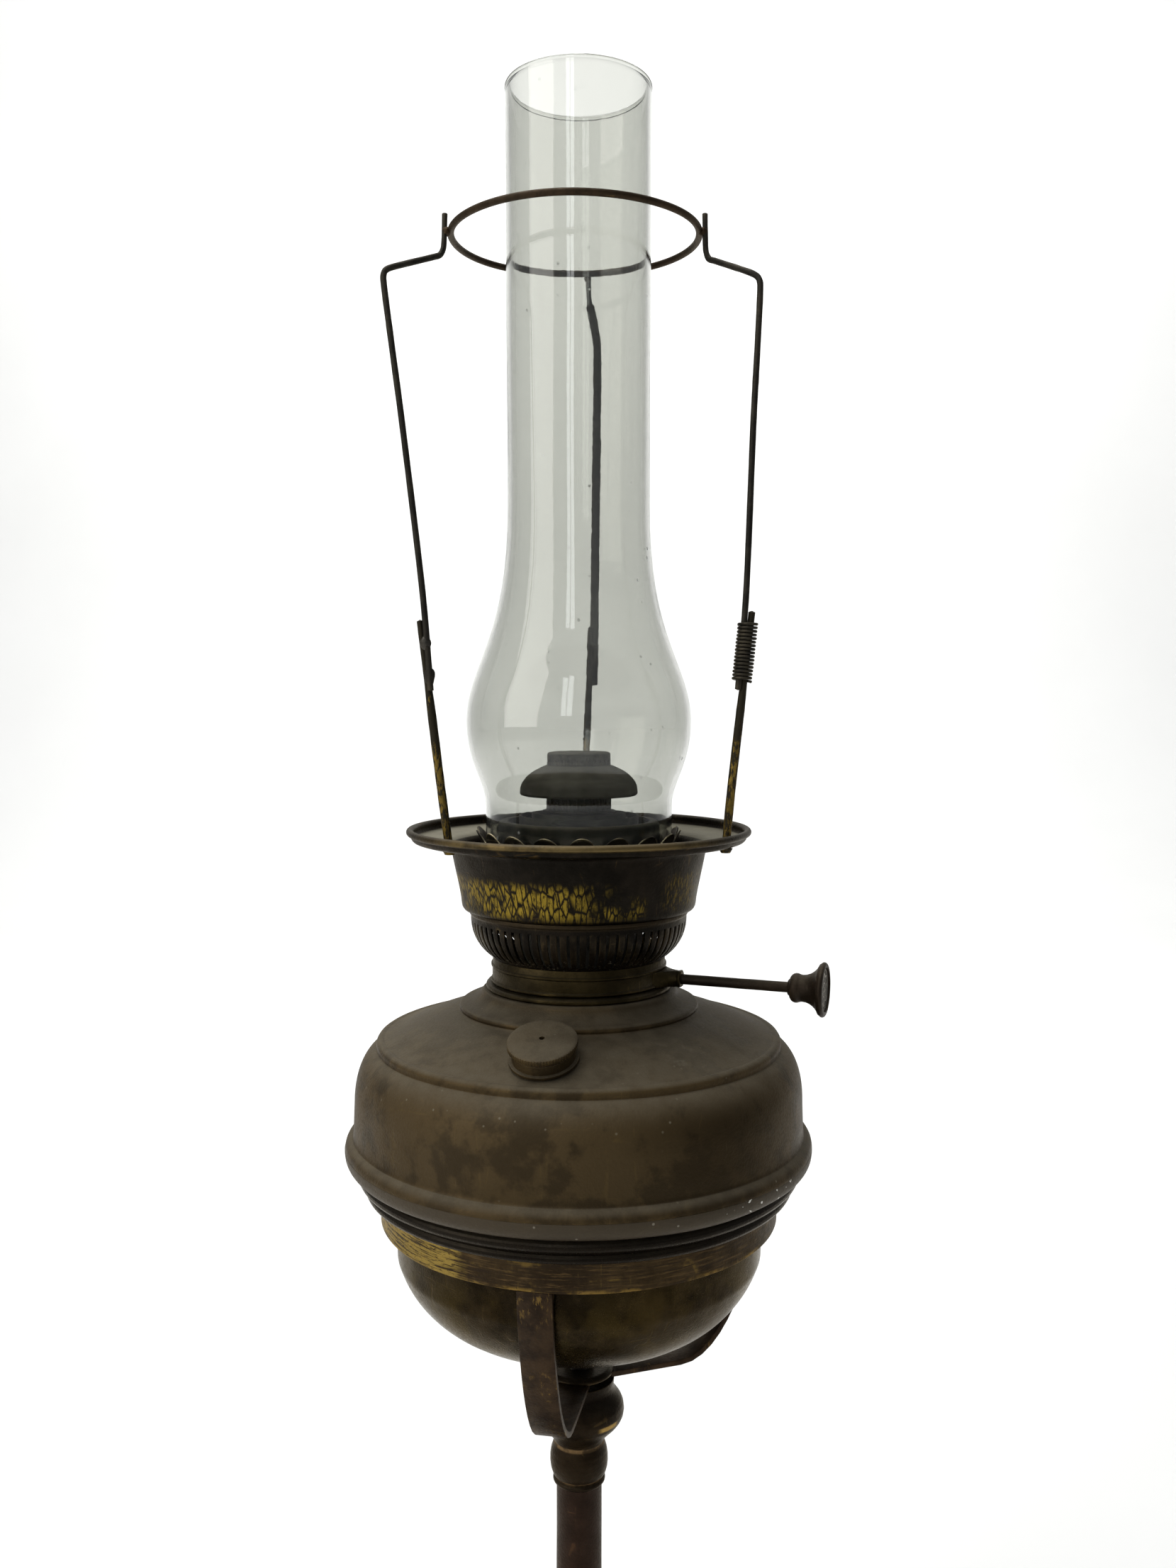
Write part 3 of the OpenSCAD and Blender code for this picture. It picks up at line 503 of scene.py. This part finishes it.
def make_materials():
    """Every material by its short name."""
    dust, gold = srgb(84, 77, 63), srgb(150, 122, 58)
    grey_dust = srgb(86, 82, 72)
    recipes = {
        "tank": dict(deep=srgb(50, 40, 24), base=srgb(68, 55, 34), worn=gold, dust=dust, metal=0.55,
                     gloss=0.4, wear=0.08, dusty=0.85, mottle=0.2, marks=tank_marks),
        # The bowl's brass is much darker than the tank's: painted shade on the downward-facing lower half of the
        # font.
        "bowl": dict(deep=srgb(22, 16, 7), base=srgb(40, 30, 13), worn=gold, dust=dust, metal=0.9,
                     gloss=0.2, wear=0.08, dusty=0.3, pits=0.05, mottle=0.35, marks=bead_marks),
        "carrier": dict(deep=srgb(40, 30, 18), base=srgb(64, 50, 30), worn=gold, dust=dust,
                        metal=0.75, gloss=0.42, wear=0.5, dusty=0.3, marks=ring_marks),
        "strap": dict(deep=srgb(32, 22, 14), base=srgb(52, 37, 24), worn=srgb(104, 84, 54),
                      dust=dust, metal=0.6, gloss=0.4, wear=0.12, dusty=0.1, marks=strap_marks),
        "knop": dict(deep=srgb(20, 14, 8), base=srgb(38, 28, 15), worn=srgb(120, 98, 58),
                     dust=dust, metal=0.8, gloss=0.3, wear=0.3, dusty=0.2, marks=knop_marks),
        "column": dict(deep=srgb(28, 17, 10), base=srgb(44, 28, 18), worn=srgb(112, 80, 50),
                       dust=dust, metal=0.6, gloss=0.36, wear=0.3, dusty=0.1, mottle=0.8),
        "foot": dict(deep=srgb(50, 40, 24), base=srgb(76, 61, 36), worn=gold, dust=dust, metal=0.8,
                     gloss=0.3, wear=0.4, dusty=0.4, mottle=0.6),
        "cup": dict(deep=srgb(13, 10, 6), base=srgb(27, 21, 14), worn=srgb(120, 94, 50),
                    dust=grey_dust, metal=0.7, gloss=0.34, wear=0.3, dusty=0.5, marks=cup_marks),
        "basket": dict(deep=srgb(14, 11, 7), base=srgb(27, 21, 14), worn=srgb(92, 78, 52),
                       dust=grey_dust, metal=0.7, gloss=0.36, wear=0.5, dusty=0.2,
                       marks=basket_marks),
        "burner": dict(deep=srgb(30, 24, 11), base=srgb(52, 43, 22), worn=srgb(110, 92, 50),
                       dust=dust, metal=0.8, gloss=0.32, wear=0.35, dusty=0.3, mottle=0.7),
        # The pale dust on the upward faces of the sooty parts is dust and also a painted highlight on their rims.
        "soot": dict(deep=srgb(44, 43, 39), base=srgb(70, 69, 63), worn=srgb(112, 108, 97),
                     dust=srgb(112, 108, 97), metal=0.25, gloss=0.55, wear=0.4, dusty=0.8),
        "coronet": dict(deep=srgb(26, 24, 20), base=srgb(48, 44, 36), worn=srgb(150, 140, 112),
                        dust=grey_dust, metal=0.65, gloss=0.4, wear=1.0, dusty=0.2),
        "wire": dict(deep=srgb(24, 23, 21), base=srgb(48, 45, 39), worn=srgb(88, 80, 62), dust=dust,
                     metal=0.6, gloss=0.42, wear=0.3, dusty=0.2, mottle=1.0),
        "stub": dict(deep=srgb(84, 68, 32), base=srgb(132, 110, 50), worn=gold, dust=dust,
                     metal=0.9, gloss=0.36, wear=0.4, dusty=0.1, mottle=1.0, marks=stub_marks),
        "ring_wire": dict(deep=srgb(30, 24, 18), base=srgb(58, 45, 31), worn=srgb(112, 90, 58),
                          dust=dust, metal=0.7, gloss=0.38, wear=0.3, dusty=0.2, mottle=1.0),
        "knob": dict(deep=srgb(26, 20, 14), base=srgb(42, 33, 24), worn=srgb(104, 84, 60),
                     dust=dust, metal=0.5, gloss=0.4, wear=0.3, dusty=0.3, mottle=0.6),
        "gear": dict(deep=srgb(84, 66, 34), base=srgb(126, 102, 54), worn=gold, dust=dust,
                     metal=0.9, gloss=0.34, wear=0.5, dusty=0.0),
        "nickel": dict(deep=srgb(104, 102, 96), base=srgb(168, 166, 158), worn=srgb(214, 212, 204),
                       dust=dust, metal=0.9, gloss=0.28, wear=0.5, dusty=0.05),
        "steel": dict(deep=srgb(72, 69, 64), base=srgb(110, 106, 99), worn=srgb(160, 158, 150),
                      dust=dust, metal=0.9, gloss=0.36, wear=0.4, dusty=0.1),
        "solder": dict(deep=srgb(40, 38, 34), base=srgb(76, 73, 67), worn=srgb(160, 158, 150),
                       dust=dust, metal=0.8, gloss=0.38, wear=0.2, dusty=0.1),
    }
    made = {name: aged_metal(name + "_metal", **recipe) for name, recipe in recipes.items()}
    made.update(iron=iron_paint(), felt=felt_paint(), leather=leather_paint(), cotton=wick_paint(),
                glass=glass_paint())
    return made


# ---------------------------------------------------------------- mesh helpers


def add_piece(name, verts, faces, paint, body, replaced=(), sharp=38):
    """A shown piece from its mesh, riding on its body and standing for its CAD nodes. Edges
    turned by more than sharp degrees stay crisp."""
    mesh = bpy.data.meshes.new(name)
    mesh.from_pydata([tuple(v) for v in verts], [], faces)
    mesh.validate()
    mesh.update()
    made = bpy.data.objects.new(name, mesh)
    bpy.context.scene.collection.objects.link(made)
    mesh.materials.append(MATERIALS[paint])
    smooth(made, sharp)
    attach(made, body)
    if replaced:
        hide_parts(*replaced)
    return made


def smooth(piece, sharp):
    """Smooth shading that leaves edges turned by more than sharp degrees crisp."""
    bm = bmesh.new()
    bm.from_mesh(piece.data)
    bmesh.ops.recalc_face_normals(bm, faces=bm.faces)
    for face in bm.faces:
        face.smooth = True
    for edge in bm.edges:
        edge.smooth = len(edge.link_faces) == 2 and edge.calc_face_angle(0.0) < math.radians(sharp)
    bm.to_mesh(piece.data)
    bm.free()


def cut_outlines(node, place):
    """The closed outlines, as (radius, height) lists, of a turned node cut through its axis."""
    bm = bmesh.new()
    bm.from_mesh(frame["nodes"][node].data)
    bm.transform(place.inverted())
    bmesh.ops.remove_doubles(bm, verts=bm.verts, dist=WELD)
    everything = bm.verts[:] + bm.edges[:] + bm.faces[:]
    cut = bmesh.ops.bisect_plane(bm, geom=everything, dist=WELD, plane_co=(0, 0, 0),
                                 plane_no=(0, 1, 0))
    links = {}
    for edge in cut["geom_cut"]:
        if isinstance(edge, bmesh.types.BMEdge) and sum(v.co.x for v in edge.verts) > SMALL:
            a, b = edge.verts
            links.setdefault(a, []).append(b)
            links.setdefault(b, []).append(a)
    outlines = []
    while links:
        start = next((v for v in links if len(links[v]) == 1), next(iter(links)))
        chain = [start]
        while True:
            here = chain[-1]
            onward = [v for v in links.pop(here, []) if v in links]
            if not onward:
                break
            chain.append(onward[0])
        if len(chain) > 2:
            outlines.append([Vector((max(v.co.x, 0.0), v.co.z)) for v in chain])
    bm.free()
    return outlines


def hermite(t, start, leave, end, arrive):
    """The point at share t of a curve with those ends and end directions."""
    return ((2 * t**3 - 3 * t**2 + 1) * start + (t**3 - 2 * t**2 + t) * leave
            + (-2 * t**3 + 3 * t**2) * end + (t**3 - t**2) * arrive)


def refine(points, step, edge):
    """A closed outline with curved stretches made smooth, and corners sharper than 24
    degrees given a small round."""
    corner = math.radians(24)
    points = [p for i, p in enumerate(points) if (p - points[i - 1]).length > 2 * WELD]
    count = len(points)
    turns = []
    for i, p in enumerate(points):
        a, b = p - points[i - 1], points[(i + 1) % count] - p
        turns.append(abs(a.angle_signed(b)))
    fine = []
    for i, p in enumerate(points):
        after, before = points[(i + 1) % count], points[i - 1]
        nearest = min((after - p).length, (p - before).length)
        on_axis = p.x < SMALL
        if turns[i] > corner and not on_axis:
            cut = min(edge, 0.3 * nearest)
            a, b = p + (before - p).normalized() * cut, p + (after - p).normalized() * cut
            fine += [a, (a + b + 2 * p) / 4, b]
            start, leave = b, (after - p).normalized()
        else:
            fine.append(p)
            start, leave = p, (after - (p if on_axis else before)).normalized()
        j = (i + 1) % count
        end, arrive = after, (after - p).normalized()
        beyond = points[(j + 1) % count]
        if turns[j] > corner and after.x > SMALL:
            nearest = min((after - p).length, (beyond - after).length)
            end = after + (p - after).normalized() * min(edge, 0.3 * nearest)
        elif after.x > SMALL:
            arrive = (beyond - p).normalized()
        reach = (end - start).length
        pieces = max(1, round(reach / step))
        if on_axis and after.x < SMALL:
            pieces = 1
        for k in range(1, pieces):
            spot = hermite(k / pieces, start, reach * leave, end, reach * arrive)
            fine.append(Vector((max(spot.x, 0.0), spot.y)))
    return fine


def dents(amount, size, seed):
    """A small push along the radius that varies over the surface, as thin metal wanders."""
    def push(v):
        return amount * noise.noise((v + Vector((seed, 0, 0))) / size)
    return push


def turned(node, paint, steps, step, place=UP_Z, push=None, edge=0.14 * MM):
    """Spins a turned node again from its own outline, finer and with softened edges."""
    verts, faces = [], []
    for outline in cut_outlines(node, place):
        ring = refine(outline, step, edge)
        first = []
        for p in ring:
            first.append(len(verts))
            if p.x < SMALL:
                verts.append(Vector((0, 0, p.y)))
                continue
            for k in range(steps):
                a = 2 * math.pi * k / steps
                verts.append(Vector((p.x * math.cos(a), p.x * math.sin(a), p.y)))
        for i, p in enumerate(ring):
            j = (i + 1) % len(ring)
            a, b, a_on_axis, b_on_axis = first[i], first[j], p.x < SMALL, ring[j].x < SMALL
            if a_on_axis and b_on_axis:
                continue
            for k in range(steps):
                m = (k + 1) % steps
                if a_on_axis:
                    faces.append((a, b + m, b + k))
                elif b_on_axis:
                    faces.append((a + k, a + m, b))
                else:
                    faces.append((a + k, a + m, b + m, b + k))
    if push:
        for v in verts:
            radial = Vector((v.x, v.y, 0))
            if radial.length > SMALL:
                v += radial.normalized() * push(v)
    verts = [place @ v for v in verts]
    return add_piece(node + "_turned", verts, faces, paint, BODY_OF[node], [node])


def dressed(node, paint, edge=0.15 * MM):
    """Keeps a CAD node's own shape and softens its edges sharper than 32 degrees."""
    piece = frame["nodes"][node]
    piece.data.materials.clear()
    piece.data.materials.append(MATERIALS[paint])
    weld = piece.modifiers.new("weld", "WELD")
    weld.merge_threshold = WELD
    bevel = piece.modifiers.new("soft_edges", "BEVEL")
    bevel.width = edge
    bevel.segments = 2
    bevel.limit_method = "ANGLE"
    bevel.angle_limit = math.radians(32)
    bevel.harden_normals = True
    for face in piece.data.polygons:
        face.use_smooth = True


def through(points, n):
    """A smooth curve through the given points, with n steps between each two."""
    out = []
    for i in range(len(points) - 1):
        a, b = points[i], points[i + 1]
        before, after = points[max(i - 1, 0)], points[min(i + 2, len(points) - 1)]
        reach = (b - a).length
        m0 = (b - before).normalized() * min(reach, (b - before).length / 2)
        m1 = (after - a).normalized() * min(reach, (after - a).length / 2)
        out += [hermite(k / n, a, m0, b, m1) for k in range(n)]
    return out + [points[-1]]


def swept(path, radius, sides, shape=None, start_side=None):
    """Mesh of a round bar along a path. shape(share) gives its (width, thickness) factors."""
    verts, faces = [], []
    side = start_side or Vector((0, 1, 0))
    last = len(path) - 1
    for i, p in enumerate(path):
        ahead = (path[min(i + 1, last)] - path[max(i - 1, 0)]).normalized()
        side = (side - side.dot(ahead) * ahead).normalized()
        other = ahead.cross(side)
        wide, thick = shape(i / last) if shape else (1, 1)
        grain = 1 + 0.05 * noise.noise(p * 260) + 0.03 * noise.noise(p * 900)
        for k in range(sides):
            a = 2 * math.pi * k / sides
            spoke = math.cos(a) * wide * side + math.sin(a) * thick * other
            verts.append(p + radius * grain * spoke)
    for i in range(last):
        for k in range(sides):
            m = (k + 1) % sides
            a, b = i * sides, (i + 1) * sides
            faces.append((a + k, a + m, b + m, b + k))
    for end, ring in ((path[0], 0), (path[-1], last * sides)):
        tip = len(verts)
        inward = path[1] - path[0] if ring == 0 else path[-2] - path[-1]
        verts.append(end - inward.normalized() * radius * 0.35)
        faces += [(tip, ring + k, ring + (k + 1) % sides) for k in range(sides)]
    return verts, faces


# ---------------------------------------------------------------- the shade tripod

# Routes of the three bent wires, in millimetres, set like the CAD wires they stand for
LEFT_WIRE = [(-49, -33.1, 178.4), (-51.5, -32.6, 211), (-57.9, -31, 266), (-61.4, -30, 293),
             (-63.9, -29, 313), (-63.4, -28.4, 316), (-61, -27.2, 317.6), (-49, -12, 325.6),
             (-47.2, -9.4, 327.2), (-46.2, -8, 330.4), (-45.8, -7.6, 341.2)]
RIGHT_WIRE = [(53.4, -30.8, 178.8), (55.8, -31.3, 210), (57.8, -30.8, 266), (59.1, -30.2, 293),
              (59.9, -29, 311), (59.2, -28.2, 314), (56.6, -26.8, 316), (46.4, -11.6, 324.4),
              (44.6, -9, 326), (43.7, -7.8, 329.4), (43.4, -7.6, 341.2)]
REAR_WIRE = [(5.6, 62.3, 181), (6.4, 62.8, 208), (7.4, 63.4, 270), (7.8, 63.4, 300),
             (7.7, 62, 313), (7.2, 59.4, 316.5), (4.8, 48, 324), (4.3, 46, 325.6),
             (3.9, 45, 328.5), (3.6, 44.8, 337.4)]
LEFT_STUB = [(-43.4, -30.4, 124.6), (-46.1, -30.7, 146), (-49.6, -30.9, 176), (-52.6, -31, 201.4)]
RIGHT_STUB = [(50, -27.6, 125), (51.7, -28.2, 145), (54.9, -29.4, 176), (57.9, -30.2, 204.4)]
REAR_STUB = [(2, 56.4, 125), (2.6, 57.6, 150), (3.7, 59.2, 178), (4.6, 60.4, 203)]
WIRE_R, STUB_R = 1.05 * MM, 1.45 * MM


def hook_shape(share):
    """Round along the leg, a little flattened where it stands against the ring."""
    flat = min(1.0, max(0.0, (share - 0.8) / 0.06))
    return 1 + 0.3 * flat, 1 - 0.08 * flat


def strip_shape(share):
    """A flat strip up the back, round again where it turns in to the ring."""
    flat = 1 - min(1.0, max(0.0, (share - 0.72) / 0.08))
    return 1 + 0.72 * flat, 1 - 0.3 * flat


def stub_shape(share):
    """Slightly flattened at the upper end, where the wire is spliced on."""
    flat = min(1.0, max(0.0, (share - 0.62) / 0.12))
    return 1 + 0.12 * flat, 1 - 0.2 * flat


def make_tripod():
    """The three spliced wire legs and the ring that they carry."""
    for name, route in (("leg_wire_left", LEFT_WIRE), ("leg_wire_right", RIGHT_WIRE),
                        ("leg_wire_rear", REAR_WIRE)):
        path = through([head(*p) for p in route], 10)
        tangent = Vector((-path[-1].y, path[-1].x, 0)).normalized()
        form = strip_shape if "rear" in name else hook_shape
        verts, faces = swept(path[::-1], WIRE_R, 18, lambda s: form(1 - s), tangent)
        add_piece(name + "_bent", verts, faces, "wire", "gallery", [name])
    verts, faces = [], []
    for route in (LEFT_STUB, RIGHT_STUB, REAR_STUB):
        more, polys = swept(through([head(*p) for p in route], 14), STUB_R, 20, stub_shape)
        faces += [tuple(i + len(verts) for i in f) for f in polys]
        verts += more
    add_piece("leg_stubs_drawn", verts, faces, "stub", "gallery",
              ["leg_stubs"])

    # Thin wire wound round the right leg's splice, which leans out with the leg
    base, lean = head(54.75, -30.1, 181.6), math.atan(7.9 / 79.4)
    winds, per, pitch = 16, 28, 1.2 * MM
    coil = []
    for i in range(winds * per + 1):
        a, rise = 2 * math.pi * i / per, pitch * i / per
        wander = 1 + 0.06 * noise.noise(Vector((i * 0.05, 0, 0)))
        flat = Vector((2.95 * MM * wander * math.cos(a), 3.3 * MM * wander * math.sin(a), rise))
        coil.append(base + Matrix.Rotation(lean, 3, "Y") @ flat)
    verts, faces = swept(coil, 0.5 * MM, 10)
    add_piece("splice_wrap", verts, faces, "wire", "gallery",
              ["splice_binding"])
    blob("left_splice_solder", head(-50.6, -32.6, 194), (1.9, 1.7, 2.3), "solder", 3)
    blob("left_splice_dab", head(-49.4, -32.2, 183), (1.7, 1.7, 3.4), "wire", 4)
    blob("rear_splice_solder", head(5.1, 61.2, 193), (1.9, 1.8, 4.5), "solder", 5)
    for name, spot, seed in (("left", (-45.3, -7.7, 335.4), 6), ("right", (42.8, -7.6, 335.4), 7),
                             ("rear", (3.4, 44.1, 334.8), 8)):
        blob(name + "_ring_solder", head(*spot), (1.5, 1.9, 1.6), "ring_wire", seed)
    low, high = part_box("shade_ring")
    shift = Matrix.Translation(((low.x + high.x) / 2, 0, 0))
    turned("shade_ring", "ring_wire", 220, 0.35 * MM, shift, dents(0.35 * MM, 0.03, 2.0))


def blob(name, centre, size, paint, seed):
    """A run drop of solder: a squashed ball with an uneven skin."""
    bm = bmesh.new()
    bmesh.ops.create_icosphere(bm, subdivisions=4, radius=1.0)
    for v in bm.verts:
        v.co *= 1 + 0.16 * noise.noise(v.co * 1.3 + Vector((seed * 7.0, 0, 0)))
        v.co = centre + Vector([c * s * MM for c, s in zip(v.co, size)])
    verts, faces = [v.co.copy() for v in bm.verts], [[v.index for v in f.verts] for f in bm.faces]
    bm.free()
    add_piece(name, verts, faces, paint, "gallery")


# ---------------------------------------------------------------- burner and gallery


def petal_top(share):
    """How far a petal's edge stands over its notches: 1 in its middle, where share is 0, and
    0 at its sides, where share is 1 or -1, with a shoulder between."""
    t, shoulder, drop = abs(share), 0.55, 0.36
    if t < shoulder:
        return 1 - drop * (t / shoulder) ** 2
    return (1 - drop) * (1 - (t - shoulder) / (1 - shoulder)) ** 1.3


def make_coronet():
    """Thin spring petals with bracket-shaped edges that flare out round the chimney."""
    low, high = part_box("chimney_coronet")
    petals, per, rows = 18, 22, 30
    foot, notch, tip = low.z, RING_TOP + 125 * MM, high.z - 0.2 * MM
    band_radius, flare_from, flare_height, flare_out = 34.3 * MM, 120.5, 9.5, 3.0 * MM
    rng = random.Random(11)
    lean = [rng.uniform(-0.35, 0.45) * MM for _ in range(petals)]
    lift = [rng.uniform(-0.35, 0.2) * MM for _ in range(petals)]
    columns, verts, faces = petals * per, [], []
    for c in range(columns):
        turn = c / per + 0.5
        index, share = int(turn) % petals, 2 * (turn % 1) - 1
        weight = 1 - share**2
        edge = notch + (tip - notch + lift[index]) * petal_top(share)
        a = 2 * math.pi * (c / columns) + math.radians(2)
        for r in range(rows + 1):
            z = foot + (edge - foot) * r / rows
            up = (z - RING_TOP) / MM
            flare = max(0.0, (up - flare_from) / flare_height)
            radius = band_radius + flare_out * flare**2 + lean[index] * weight * flare
            radius -= 0.35 * MM * abs(share) ** 3 * flare
            verts.append(Vector((radius * math.sin(a), -radius * math.cos(a), z)))
    for c in range(columns):
        n = (c + 1) % columns
        for r in range(rows):
            a, b = c * (rows + 1) + r, n * (rows + 1) + r
            faces.append((a, b, b + 1, a + 1))
    made = add_piece("coronet_petals", verts, faces, "coronet", "gallery",
                     ["chimney_coronet"], 60)
    thick = made.modifiers.new("sheet", "SOLIDIFY")
    thick.thickness = 0.45 * MM
    thick.offset = 0


def make_wick():
    """Woven cotton sleeve, split below into two flat tails."""
    low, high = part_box("wick")
    middle, around, rows = 18.65 * MM, 300, 400
    plaits, twist = 75, 2.1
    rear_half, rear_top, front_half, front_top = 6.2 * MM, 104.4, 8 * MM, 90
    verts, faces = [], []
    char = [0.5 * MM * noise.noise(Vector((math.cos(2 * math.pi * c / around) * 9,
                                           math.sin(2 * math.pi * c / around) * 9, 0)))
            for c in range(around)]
    for r in range(rows + 1):
        z = low.z + (high.z - low.z) * r / rows
        up = (z - RING_TOP) / MM
        for c in range(around):
            a = 2 * math.pi * c / around
            plait = math.sin(plaits * a + up * twist) * math.sin(plaits * a - up * twist)
            radius = middle + 0.12 * MM * plait
            top = char[c] - 0.4 * MM if r == rows else 0.0
            verts.append(Vector((radius * math.sin(a), -radius * math.cos(a), z + top)))
    for r in range(rows):
        up = (low.z + (high.z - low.z) * (r + 0.5) / rows - RING_TOP) / MM
        for c in range(around):
            a = 2 * math.pi * (c + 0.5) / around
            x, y = middle * math.sin(a), -middle * math.cos(a)
            behind, front = abs(x) < rear_half and y > 0, abs(x) < front_half and y < 0
            if (behind and up < rear_top) or (front and up < front_top):
                continue
            n = (c + 1) % around
            a0, b0 = r * around, (r + 1) * around
            faces.append((a0 + c, a0 + n, b0 + n, b0 + c))
    made = add_piece("wick_woven", verts, faces, "cotton", "wick_feed", ["wick"],
                     80)
    thick = made.modifiers.new("cloth", "SOLIDIFY")
    thick.thickness = 2.3 * MM
    thick.offset = 0
    bm = bmesh.new()
    bm.from_mesh(made.data)
    bmesh.ops.delete(bm, geom=[v for v in bm.verts if not v.link_faces], context="VERTS")
    bm.to_mesh(made.data)
    bm.free()


def make_rosette(place):
    """Relief rosette in the knob's face: eight round lobes inside a rim, round a boss."""
    radius, rings, around, lobes, ground, relief = 7.2 * MM, 44, 160, 8, -1.05 * MM, 0.9 * MM
    verts, faces = [], []
    for r in range(rings + 1):
        for c in range(around):
            d, a = radius * r / rings, 2 * math.pi * c / around
            lobe = 0.5 + 0.5 * math.cos(lobes * a)
            s = d / radius
            raised = 0.42 * math.exp(-((s - 0.62 - 0.16 * lobe) / 0.07) ** 2)
            raised += 0.34 * math.exp(-((s - 0.33) / 0.05) ** 2) + 0.75 * math.exp(-(s / 0.15) ** 2)
            raised += 0.32 * lobe ** 6 * math.exp(-((s - 0.5) / 0.1) ** 2)
            raised += 0.4 * math.exp(-((s - 0.97) / 0.035) ** 2)
            z = ground + relief * raised
            verts.append(place @ Vector((d * math.cos(a), d * math.sin(a), z)))
    for r in range(rings):
        for c in range(around):
            n = (c + 1) % around
            a0, b0 = r * around, (r + 1) * around
            faces.append((a0 + c, a0 + n, b0 + n, b0 + c))
    made = add_piece("rosette_relief", verts, faces, "nickel", "spindle",
                     ["knob_rosette"], 70)
    thick = made.modifiers.new("sheet", "SOLIDIFY")
    thick.thickness = 0.1 * MM


def drill_filler(tank, place):
    """Opens the filler hole through the tank's dome."""
    radius, depth = 9.7 * MM, 14 * MM
    bm = bmesh.new()
    bmesh.ops.create_cone(bm, cap_ends=True, segments=96, radius1=radius, radius2=radius,
                          depth=depth, matrix=place)
    mesh = bpy.data.meshes.new("filler_drill")
    bm.to_mesh(mesh)
    bm.free()
    drill = bpy.data.objects.new("filler_drill", mesh)
    bpy.context.scene.collection.objects.link(drill)
    cut = tank.modifiers.new("filler_hole", "BOOLEAN")
    cut.operation = "DIFFERENCE"
    cut.object = drill
    cut.solver = "EXACT"
    bpy.context.view_layer.update()
    depsgraph = bpy.context.evaluated_depsgraph_get()
    done = bpy.data.meshes.new_from_object(tank.evaluated_get(depsgraph))
    tank.modifiers.clear()
    tank.data = done
    bpy.data.objects.remove(drill)


# ---------------------------------------------------------------- the whole lamp


def make_stand():
    turned("base_pad", "felt", 160, 2 * MM)
    turned("base_weight", "iron", 160, 1.4 * MM, push=dents(0.3 * MM, 0.02, 1.0))
    turned("foot_shell", "foot", 200, 0.9 * MM, push=dents(0.3 * MM, 0.03, 2.0))
    turned("foot_collar", "foot", 120, 0.5 * MM)
    turned("column_tube", "column", 120, 1.2 * MM, push=dents(0.12 * MM, 0.02, 3.0))
    turned("column_ferrule", "knop", 120, 0.3 * MM)
    turned("vase_knop", "knop", 160, 0.5 * MM, push=dents(0.15 * MM, 0.012, 4.0), edge=0.25 * MM)
    turned("hub_cap", "knop", 120, 0.5 * MM, edge=0.3 * MM)
    turned("carrier_ring", "carrier", 260, 0.6 * MM, push=dents(0.25 * MM, 0.03, 5.0),
           edge=0.3 * MM)
    for node in ("strap_front", "strap_right", "strap_left"):
        dressed(node, "strap", 0.4 * MM)
    dressed("strap_rivets", "strap", 0.3 * MM)
    dressed("tie_rod", "steel")
    dressed("tie_nuts", "steel", 0.3 * MM)


def make_font():
    cap = JOINTS["cap_turn"]
    filler_azimuth = math.radians(-11)  # a little left of the front
    outward = Vector((math.sin(filler_azimuth), -math.cos(filler_azimuth), 0))
    filler = axis_frame(cap["pos_m"], cap["axis"], outward)
    turned("font_bowl", "bowl", 256, 0.8 * MM, push=dents(0.35 * MM, 0.035, 6.0))
    tank = turned("font_top", "tank", 256, 0.8 * MM, push=dents(0.4 * MM, 0.035, 7.0))
    drill_filler(tank, filler)
    turned("burner_collar", "burner", 160, 0.5 * MM)
    turned("filler_neck", "tank", 120, 0.4 * MM, filler)
    turned("filler_washer", "leather", 120, 0.3 * MM, filler)
    dressed("filler_cap", "tank", 0.12 * MM)
    turned("cap_sleeve", "burner", 120, 0.4 * MM, filler)


def make_burner():
    turn = JOINTS["spindle_turn"]
    spindle = axis_frame(turn["pos_m"], turn["axis"], (0, 0, -1))
    dressed("burner_base", "burner", 0.12 * MM)
    dressed("air_basket", "basket", 0.1 * MM)
    dressed("outer_wick_tube", "soot", 0.08 * MM)
    dressed("draught_tube", "soot", 0.08 * MM)
    dressed("spindle_boss", "burner", 0.2 * MM)
    make_wick()
    dressed("wick_carrier", "gear", 0.08 * MM)
    dressed("wick_rack", "gear", 0.06 * MM)
    dressed("wick_pinion", "gear", 0.06 * MM)
    turned("wick_spindle", "knob", 60, 0.8 * MM, spindle, dents(0.05 * MM, 0.006, 8.0))
    turned("wick_knob", "knob", 120, 0.3 * MM, spindle, dents(0.08 * MM, 0.006, 9.0))
    reach = max((spindle.inverted() @ v.co).z for v in frame["nodes"]["wick_knob"].data.vertices)
    make_rosette(spindle @ Matrix.Translation((0, 0, reach)))


def make_spreader():
    dressed("spreader_skirt", "soot", 0.06 * MM)
    turned("spreader_dome", "soot", 160, 0.5 * MM, push=dents(0.15 * MM, 0.01, 10.0))
    dressed("spreader_cap", "soot", 0.06 * MM)


def make_gallery():
    turned("gallery_saucer", "cup", 256, 0.6 * MM, push=dents(0.3 * MM, 0.025, 11.0))
    dressed("gallery_deck", "soot", 0.1 * MM)
    make_coronet()
    turned("flame_guide", "soot", 160, 0.5 * MM, push=dents(0.1 * MM, 0.012, 12.0))
    dressed("leg_rivets", "stub", 0.25 * MM)
    make_tripod()


def make_chimney():
    turned("chimney", "glass", 256, 1.4 * MM, push=dents(0.16 * MM, 0.045, 13.0), edge=0.3 * MM)


make_camera()
make_studio()
MATERIALS = make_materials()
make_stand()
make_font()
make_burner()
make_spreader()
make_gallery()
make_chimney()
